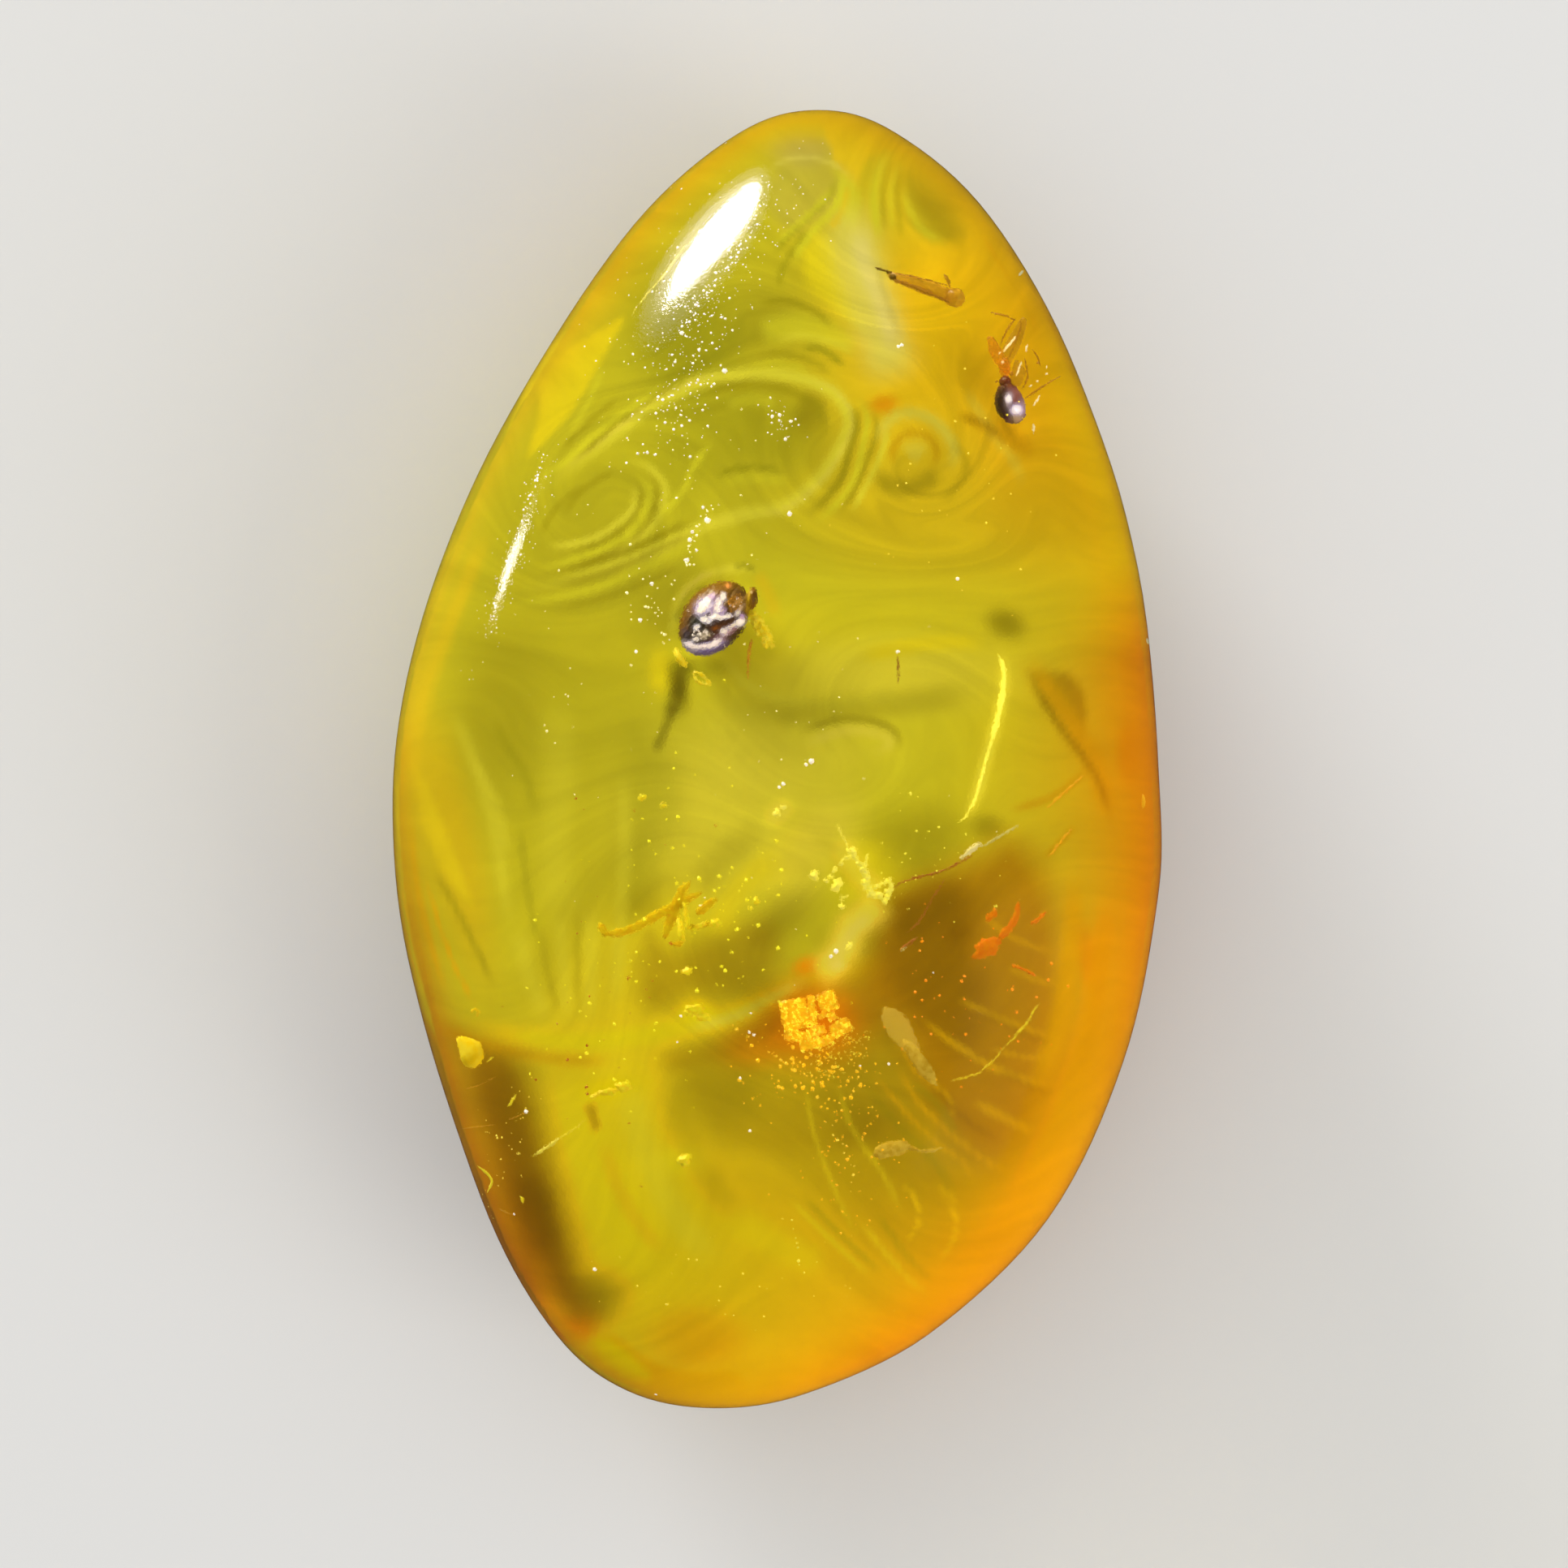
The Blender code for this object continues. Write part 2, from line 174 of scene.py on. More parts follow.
def add_node(tree, kind, inputs=None, **settings):
    """Add a node with its settings; an input is a value or the output that feeds it."""
    node = tree.nodes.new(kind)
    for name, value in settings.items():
        setattr(node, name, value)
    for name, value in (inputs or {}).items():
        if isinstance(value, bpy.types.NodeSocket):
            tree.links.new(value, node.inputs[name])
        else:
            node.inputs[name].default_value = value
    return node


def new_material(name):
    """An empty node material and its output node."""
    material = bpy.data.materials.new(name)
    material.use_nodes = True
    material.node_tree.nodes.clear()
    return material, add_node(material.node_tree, "ShaderNodeOutputMaterial")


def finish_piece(name, bm, material):
    """Turn a bmesh in millimetres into a piece in metres that rides on the nugget's body."""
    bmesh.ops.scale(bm, vec=Vector((MM, MM, MM)), verts=bm.verts)
    mesh = bpy.data.meshes.new(name)
    bm.to_mesh(mesh)
    bm.free()
    mesh.shade_smooth()
    mesh.materials.append(material)
    piece = bpy.data.objects.new(name, mesh)
    bpy.context.scene.collection.objects.link(piece)
    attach(piece, "root")
    return piece


class Nugget:
    """The two surfaces that the sealed things are placed by, kept for the later operators."""

    surface = None
    milk = None


def seen_point(x, y):
    """A pixel of the photograph as a point on the plane of the nugget's widest outline."""
    return Vector((
        (x - (PHOTO_BOX[0] + PHOTO_BOX[2]) / 2) * MM_PER_PIXEL,
        ((PHOTO_BOX[1] + PHOTO_BOX[3]) / 2 - y) * MM_PER_PIXEL,
    ))


def sight(seen):
    """The line of sight to a seen point: its way, where it meets the amber, and the face there."""
    way = (Vector((seen.x, seen.y, OUTLINE_HEIGHT)) - EYE).normalized()
    return way, *Nugget.surface.ray_cast(EYE, way)[:2]


def look_in(seen):
    """Where the line of sight to a seen point enters the amber, and its bent way inside."""
    way, entry, normal = sight(seen)
    if entry is None:
        return None, None
    if normal.dot(way) > 0:
        normal = -normal
    cosine = -normal.dot(way)
    ratio = 1 / AMBER_INDEX
    bent = ratio * way + (ratio * cosine - math.sqrt(1 - ratio ** 2 * (1 - cosine ** 2))) * normal
    return entry, bent


def look_in_near(x, y):
    """The way in at a pixel, or at the nearest one towards the middle if it is off the nugget."""
    seen = seen_point(x, y)
    entry, bent = look_in(seen)
    while entry is None:
        seen *= 0.99
        entry, bent = look_in(seen)
    return entry, bent


def inside(x, y, lift):
    """The point that a pixel shows inside the amber, on the milk at lift 0 and on the polished
    surface at lift 1, and how much amber lies over it."""
    entry, bent = look_in_near(x, y)
    base, _, _, _ = Nugget.milk.ray_cast(entry + bent * 0.01, bent)
    if base is None:
        base = entry + bent
    place = base.lerp(entry, lift)
    return place, (entry - place).length


def at_height(x, y, height):
    """The point at a height that a pixel shows inside the amber, kept just under its surface."""
    entry, bent = look_in_near(x, y)
    return entry + bent * max(0.2, (height - entry.z) / bent.z)


def amber_ripple(place):
    """The slight waviness that hand polishing leaves."""
    return 0.03 * noise.noise(place * 0.35)


def amber_material():
    """Baltic amber, ground and polished: a clear yellow glass-like resin that turns orange
    where the light goes far through it, with a wet gloss."""
    material, output = new_material("polished_clear_amber")
    tree = material.node_tree
    look = bpy.context.scene.amber_look
    where = add_node(tree, "ShaderNodeTexCoord").outputs["Object"]
    # Polishing powder leaves marks of about 0.01 mm. They are drawn coarser, so that they show.
    pits = add_node(tree, "ShaderNodeTexNoise", {
        "Vector": where, "Scale": 1 / look.pit_size, "Detail": 2.0, "Roughness": 0.6,
    })
    dents = add_node(tree, "ShaderNodeBump", {
        "Height": pits.outputs["Fac"], "Strength": 0.10, "Distance": look.pit_depth,
    })
    glass = add_node(tree, "ShaderNodeBsdfPrincipled", {
        "Base Color": (1.0, 1.0, 1.0, 1.0),
        "Roughness": look.roughness,
        "IOR": AMBER_INDEX,
        "Transmission Weight": 1.0,
        "Normal": dents.outputs[0],
    })
    absorb = add_node(tree, "ShaderNodeVolumeAbsorption", {
        "Color": (*look.tint, 1.0), "Density": look.density,
    })
    # The lamps' light goes straight in, so that the cloud and the sealed things are lit.
    path = add_node(tree, "ShaderNodeLightPath")
    window = add_node(tree, "ShaderNodeBsdfTransparent", {"Color": (0.95, 0.95, 0.95, 1.0)})
    mix = add_node(tree, "ShaderNodeMixShader", {
        0: path.outputs["Is Shadow Ray"], 1: glass.outputs[0], 2: window.outputs[0],
    })
    tree.links.new(mix.outputs[0], output.inputs["Surface"])
    tree.links.new(absorb.outputs[0], output.inputs["Volume"])
    return material


class AmberLook(bpy.types.PropertyGroup):
    """The clear amber's polish and how it takes the light in."""

    roughness: FloatProperty(
        name="Roughness", description="Roughness of the polished surface", default=0.03, min=0, max=1,
    )
    pit_size: FloatProperty(
        name="Pit size", description="Spacing of the polishing marks", unit="LENGTH",
        default=0.07 * MM, min=0.001 * MM, precision=6,
    )
    pit_depth: FloatProperty(
        name="Pit depth", description="Depth of the polishing marks", unit="LENGTH",
        default=0.02 * MM, min=0, precision=6,
    )
    density: FloatProperty(
        name="Density", description="How much light a metre of amber absorbs", default=70.0, min=0,
    )
    daylight: FloatProperty(
        name="Daylight", description="How bright a white card is inside the amber", default=0.82,
        min=0.01,
    )
    tint: FloatVectorProperty(
        name="Tint", description="Share of each colour that is let through", subtype="COLOR",
        default=(0.93, 0.75, 0.0), min=0, max=1,
    )


class AMBER_OT_clear_lump(bpy.types.Operator):
    """Make the clear amber lump that stands for both halves"""

    bl_idname = "amber.clear_lump"
    bl_label = "Clear amber lump"

    def execute(self, context):
        bm = form_shell(AMBER_FORM, AMBER_STEPS, AMBER_RINGS, amber_ripple)
        for vertex in bm.verts:
            vertex.co.z = (vertex.co.z + math.hypot(vertex.co.z, WORN_EDGE)) / 2
        Nugget.surface = BVHTree.FromBMesh(bm)
        piece = finish_piece("clear_amber", bm, amber_material())
        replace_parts(piece, "amber_upper", "amber_lower")
        return {"FINISHED"}


def milk_ripple(place):
    """The uneven face of the cloud."""
    return 0.12 * noise.noise(place * 0.22 + Vector((3.1, 0.7, 1.9)))


# Colours as they show in the photograph, which is through the amber.
COLOURS = {
    "lime": "#C2BC22",
    "honey": "#E2C41C",
    "butter": "#E0D858",
    "veil_and_reflection": "#B4A84A",
    "spring": "#D8D42A",
    "leaf": "#908E14",
    "olive_lime": "#A8A01C",
    "olive": "#857A0E",
    "painted_beetle_shadow": "#4E4208",
    "brown": "#84500A",
    "lemon": "#E4D41C",
    "straw": "#DED242",
    "pale_lime": "#E0DA38",
    "moss": "#9A9012",
    "umber": "#8C6808",
    "dark_umber": "#6C5206",
    "sunny": "#F0D014",
    "fire": "#D87C04",
    "painted_small_beetle_shadow": "#D49E0C",
    "toffee": "#AE7E08",
    "primrose": "#FADC44",
    "rust": "#A05C0A",
    "ember": "#B87002",
    "saffron": "#FAB810",
    "marigold": "#FFC806",
    "cream": "#E6DA90",
    "gold": "#D9AE0E",
    "deep_gold": "#C49408",
    "orange": "#E58E04",
    "bright_orange": "#FFA604",
    "haze": "#C8BE66",
    "painted_glow": "#FFF040",
}


class CloudLook(bpy.types.PropertyGroup):
    """The cloud's own colour, and how strongly its shade changes along the flow."""

    base: FloatVectorProperty(
        name="Cloud colour", description="Colour of the cloud where nothing else lies over it",
        subtype="COLOR", default=linear(COLOURS["lime"])[:3], min=0, max=1,
    )
    swing: FloatProperty(
        name="Swing", description="How strongly the cloud's shade changes along the flow",
        subtype="FACTOR", default=0.09, min=0, max=0.5,
    )


# Where the resin turned as it flowed: pixel, reach in pixels, turn in degrees.
TURNS = (
    (737, 628, 95, 230), (1125, 562, 62, -200), (1160, 262, 120, 170), (1010, 520, 130, -120),
    (1070, 895, 120, 150), (880, 470, 110, 90), (1226, 621, 70, 130), (940, 1120, 150, -110),
    (700, 1180, 140, 60), (1240, 1180, 160, 60), (640, 900, 110, -60), (1300, 860, 90, 70),
    (800, 1480, 170, 80), (1080, 1420, 150, -80),
)

# Soft patches of the cloud: pixel, half sizes in pixels, tilt in degrees, colour and strength.
PATCHES = (
    ((1190, 360), (190, 260), -25, "honey", 0.75),
    ((1330, 760), (130, 420), -8, "honey", 0.5),
    ((1010, 1560), (360, 190), 10, "gold", 0.8),
    ((870, 1450), (150, 190), 0, "sunny", 0.45),
    ((760, 1420), (130, 270), -10, "sunny", 0.5),
    ((1240, 1420), (170, 180), 20, "deep_gold", 0.7),
    ((992, 186), (36, 18), 0, "veil_and_reflection", 0.8),
    ((950, 400), (60, 60), 0, "olive_lime", 0.65),
    ((1165, 345), (60, 70), -20, "honey", 0.7),
    ((1185, 420), (110, 120), -20, "marigold", 0.7),
    ((1275, 480), (60, 140), -15, "saffron", 0.8),
    ((1290, 620), (50, 90), -5, "gold", 0.5),
    ((1020, 870), (280, 230), 0, "spring", 0.55),
    ((1150, 560), (120, 160), 0, "honey", 0.4),
    ((1150, 640), (150, 60), 0, "gold", 0.25),
    ((848, 425), (60, 80), 20, "leaf", 0.75),
    ((955, 530), (58, 52), -20, "leaf", 0.6),
    ((998, 510), (16, 26), -20, "olive", 0.6),
    ((850, 560), (54, 40), 30, "leaf", 0.35),
    ((1160, 268), (28, 12), -52, "olive", 0.5),
    ((615, 880), (55, 95), 0, "olive", 0.4),
    ((720, 830), (120, 220), 0, "olive_lime", 0.45),
    ((1239, 769), (22, 16), -20, "olive", 0.8),
    ((1120, 1040), (70, 40), 15, "moss", 0.6),
    ((1217, 1019), (18, 14), 0, "olive", 0.6),
    ((1040, 1400), (170, 90), -10, "moss", 0.45),
    ((880, 1340), (50, 60), 0, "moss", 0.6),
    ((960, 1165), (150, 60), 25, "olive", 0.22),
    ((962, 1130), (50, 22), 45, "olive", 0.6),
    ((976, 1052), (56, 26), 42, "lemon", 0.6),
    ((1045, 1196), (52, 15), 8, "sunny", 0.6),
    ((1062, 1236), (56, 44), 0, "umber", 0.6),
    ((1090, 1180), (30, 60), 0, "umber", 0.45),
    ((730, 1602), (38, 28), 20, "olive", 0.75),
    ((705, 1640), (30, 18), 20, "fire", 0.8),
    ((665, 1560), (26, 40), 20, "umber", 0.6),
    ((860, 1650), (50, 34), 0, "deep_gold", 0.6),
    ((990, 800), (220, 60), 0, "lemon", 0.3),
    ((1100, 830), (140, 40), 0, "straw", 0.45),
    ((900, 1010), (110, 90), 0, "straw", 0.45),
    ((960, 920), (120, 60), 0, "straw", 0.35),
    ((1010, 1040), (34, 60), -35, "straw", 0.6),
    ((560, 1040), (30, 150), 12, "gold", 0.45),
    ((815, 828), (14, 24), 0, "lemon", 1.0),
    # Painted shade below the round beetle: a dark streak, then its painted shadow on the cloud.
    ((836, 846), (10, 26), 14, "olive", 0.85),
    ((862, 822), (30, 12), 0, "leaf", 0.55),
    ((1089, 498), (16, 10), 10, "orange", 0.7),
    ((755, 1341), (36, 13), 8, "marigold", 0.8),
    ((844, 1429), (24, 18), 0, "lemon", 0.6),
    ((858, 1246), (22, 13), 0, "sunny", 1.0),
    # A painted bright spot of light.
    ((960, 1001), (15, 11), 30, "painted_glow", 0.85),
    ((1068, 1075), (38, 36), 0, "lemon", 0.55),
    ((1000, 1262), (58, 46), 0, "fire", 0.85),
    ((930, 1288), (40, 24), 10, "fire", 0.6),
    ((994, 1190), (16, 10), 20, "orange", 0.75),
    ((1030, 1188), (9, 7), 20, "cream", 0.9),
    ((1340, 1180), (14, 40), 12, "fire", 0.6),
    ((1392, 930), (14, 34), 0, "fire", 0.6),
)

# Patches with a crisper edge: colour, strength, softness of the edge in pixels, and corners.
ZONES = (
    ("lemon", 0.95, 12, ((651, 562), (657, 536), (663, 505), (667, 465), (690, 435), (725, 415), (768, 392),
        (757, 415), (735, 455), (713, 495), (685, 530), (664, 552))),
    ("honey", 0.9, 10, ((1014, 152), (1039, 142), (1077, 150), (1111, 168), (1134, 190), (1111, 189),
        (1086, 185), (1064, 204), (1056, 231), (1041, 221), (1028, 200))),
    # A painted reflection: a soft grey disc beside the key lamp's highlight.
    ("veil_and_reflection", 0.38, 30, ((948, 216), (964, 202), (984, 196), (1006, 197), (1030, 206), (1050, 222),
        (1036, 250), (1008, 272), (978, 286), (956, 270), (946, 244))),
    ("spring", 0.65, 16, ((1029, 212), (1048, 219), (1062, 250), (1052, 282), (1034, 262))),
    ("olive_lime", 0.75, 22, ((1113, 212), (1136, 217), (1170, 246), (1192, 284), (1172, 297), (1136, 292),
        (1117, 258))),
    ("lemon", 0.9, 20, ((990, 306), (1008, 292), (1028, 300), (1034, 330), (1052, 366), (1070, 404),
        (1050, 404), (1020, 372), (994, 348))),
    ("spring", 0.6, 22, ((940, 396), (980, 384), (1020, 392), (1052, 416), (1040, 430), (990, 418),
        (946, 420))),
    ("olive", 0.75, 14, ((1267, 829), (1313, 829), (1337, 861), (1331, 914), (1294, 866))),
    ("toffee", 0.85, 64, ((1098, 1098), (1134, 1080), (1168, 1068), (1204, 1052), (1250, 1036),
        (1290, 1080), (1308, 1150), (1316, 1215), (1312, 1290), (1292, 1350), (1262, 1400), (1220, 1430),
        (1180, 1410), (1150, 1370), (1130, 1320), (1100, 1260), (1064, 1222), (1078, 1168), (1088, 1130))),
    ("umber", 0.7, 50, ((1104, 1110), (1160, 1084), (1196, 1100), (1200, 1160), (1216, 1230), (1190, 1290),
        (1140, 1270), (1100, 1220), (1086, 1170))),
    ("dark_umber", 0.35, 34, ((1110, 1112), (1160, 1090), (1180, 1110), (1150, 1140), (1112, 1150))),
    ("umber", 0.22, 40, ((820, 1300), (870, 1290), (939, 1262), (1004, 1240), (1070, 1232), (1130, 1300),
        (1150, 1370), (1060, 1410), (960, 1420), (880, 1390), (846, 1340))),
    ("umber", 0.9, 64, ((556, 1268), (600, 1278), (633, 1290), (652, 1320), (668, 1380), (678, 1425),
        (690, 1470), (706, 1530), (724, 1590), (734, 1616), (700, 1628), (650, 1560), (616, 1490),
        (592, 1410), (574, 1340))),
    ("dark_umber", 0.5, 60, ((590, 1330), (630, 1330), (652, 1400), (676, 1460), (700, 1560), (690, 1600),
        (650, 1540), (616, 1450))),
    ("dark_umber", 0.6, 30, ((632, 1452), (664, 1450), (682, 1492), (684, 1540), (654, 1540), (632, 1500))),
    ("lemon", 0.45, 14, ((508, 940), (522, 960), (540, 1000), (560, 1050), (578, 1100), (583, 1114),
        (566, 1104), (546, 1072), (528, 1036), (514, 990))),
    ("leaf", 0.4, 60, ((780, 900), (826, 930), (838, 985), (812, 1050), (790, 1120), (768, 1130),
        (766, 1040), (768, 950))),
    ("umber", 0.45, 44, ((800, 1150), (836, 1172), (900, 1140), (950, 1140), (956, 1190), (905, 1226),
        (850, 1226), (800, 1240), (786, 1200))),
    ("bright_orange", 0.9, 14, ((732, 1652), (756, 1646), (800, 1676), (850, 1690), (910, 1694),
        (910, 1730), (820, 1726), (770, 1706), (734, 1676))),
    ("marigold", 0.95, 20, ((733, 1652), (752, 1650), (790, 1680), (800, 1700), (770, 1700), (736, 1674))),
)

# The painted glow round the rim, for light that comes far through the edge: direction in degrees, width in
# pixels and colour.
PAINTED_RIM_GLOW = (
    (-180, 30, "gold"), (-162, 32, "deep_gold"), (-146, 28, "ember"), (-128, 34, "ember"),
    (-116, 34, "ember"), (-110, 20, "bright_orange"), (-101, 22, "bright_orange"),
    (-94, 58, "bright_orange"), (-80, 58, "orange"), (-50, 74, "bright_orange"), (-20, 96, "orange"),
    (0, 100, "orange"), (16, 90, "orange"), (30, 62, "marigold"), (50, 54, "marigold"), (75, 44, "gold"),
    (90, 30, "gold"), (110, 38, "gold"), (128, 24, "honey"), (150, 20, "honey"), (172, 22, "honey"),
    (180, 30, "gold"),
)


def photo_pixel(seen):
    """The pixel of a seen point, the reverse of seen_point."""
    return (
        seen.x / MM_PER_PIXEL + (PHOTO_BOX[0] + PHOTO_BOX[2]) / 2,
        (PHOTO_BOX[1] + PHOTO_BOX[3]) / 2 - seen.y / MM_PER_PIXEL,
    )


OUTWARD = 1.04              # how much farther out a place inside shows than it lies
RIM_PATH = 0.4              # how far light comes through amber at the rim, in millimetres
BELLY_DEPTH = 0.8           # how far below its widest height the cloud is still seen


def unbend(place):
    """The seen point where a place inside shows, and how far its light comes through amber.
    The belly doesn't show, and takes what lies above it."""
    target = Vector((place.x, place.y))
    seen = target * OUTWARD
    path = RIM_PATH
    if place.z < MILK_FORM.widest - BELLY_DEPTH:
        return seen, path
    for _ in range(4):
        entry, bent = look_in(seen)
        if entry is None:
            return target * OUTWARD, RIM_PATH
        path = (place.z - entry.z) / bent.z
        hit = entry + bent * path
        seen += (target - Vector((hit.x, hit.y))) * 0.92
    return seen, path


def carried_back(pixels):
    """Pixels carried back along the turns of the flow, so that bands drawn on them swirl."""
    points = pixels.copy()
    for x, y, reach, turn in TURNS:
        away = points - (x, y)
        angle = np.radians(turn) * np.exp(-(away ** 2).sum(axis=1) / reach ** 2)
        cosine, sine = np.cos(angle), np.sin(angle)
        points[:, 0] = x + cosine * away[:, 0] - sine * away[:, 1]
        points[:, 1] = y + sine * away[:, 0] + cosine * away[:, 1]
    return points


def spread_curve(points, step):
    """Points about a step apart along a smooth open curve through the given pixels."""
    ends = [np.array(point, float) for point in points]
    ends = [2 * ends[0] - ends[1], *ends, 2 * ends[-1] - ends[-2]]
    smooth = []
    for corners in zip(ends, ends[1:], ends[2:], ends[3:]):
        count = max(2, int(np.linalg.norm(corners[2] - corners[1]) / step))
        smooth += [curve_point(*corners, i / count) for i in range(count)]
    smooth.append(ends[-2])
    return smooth
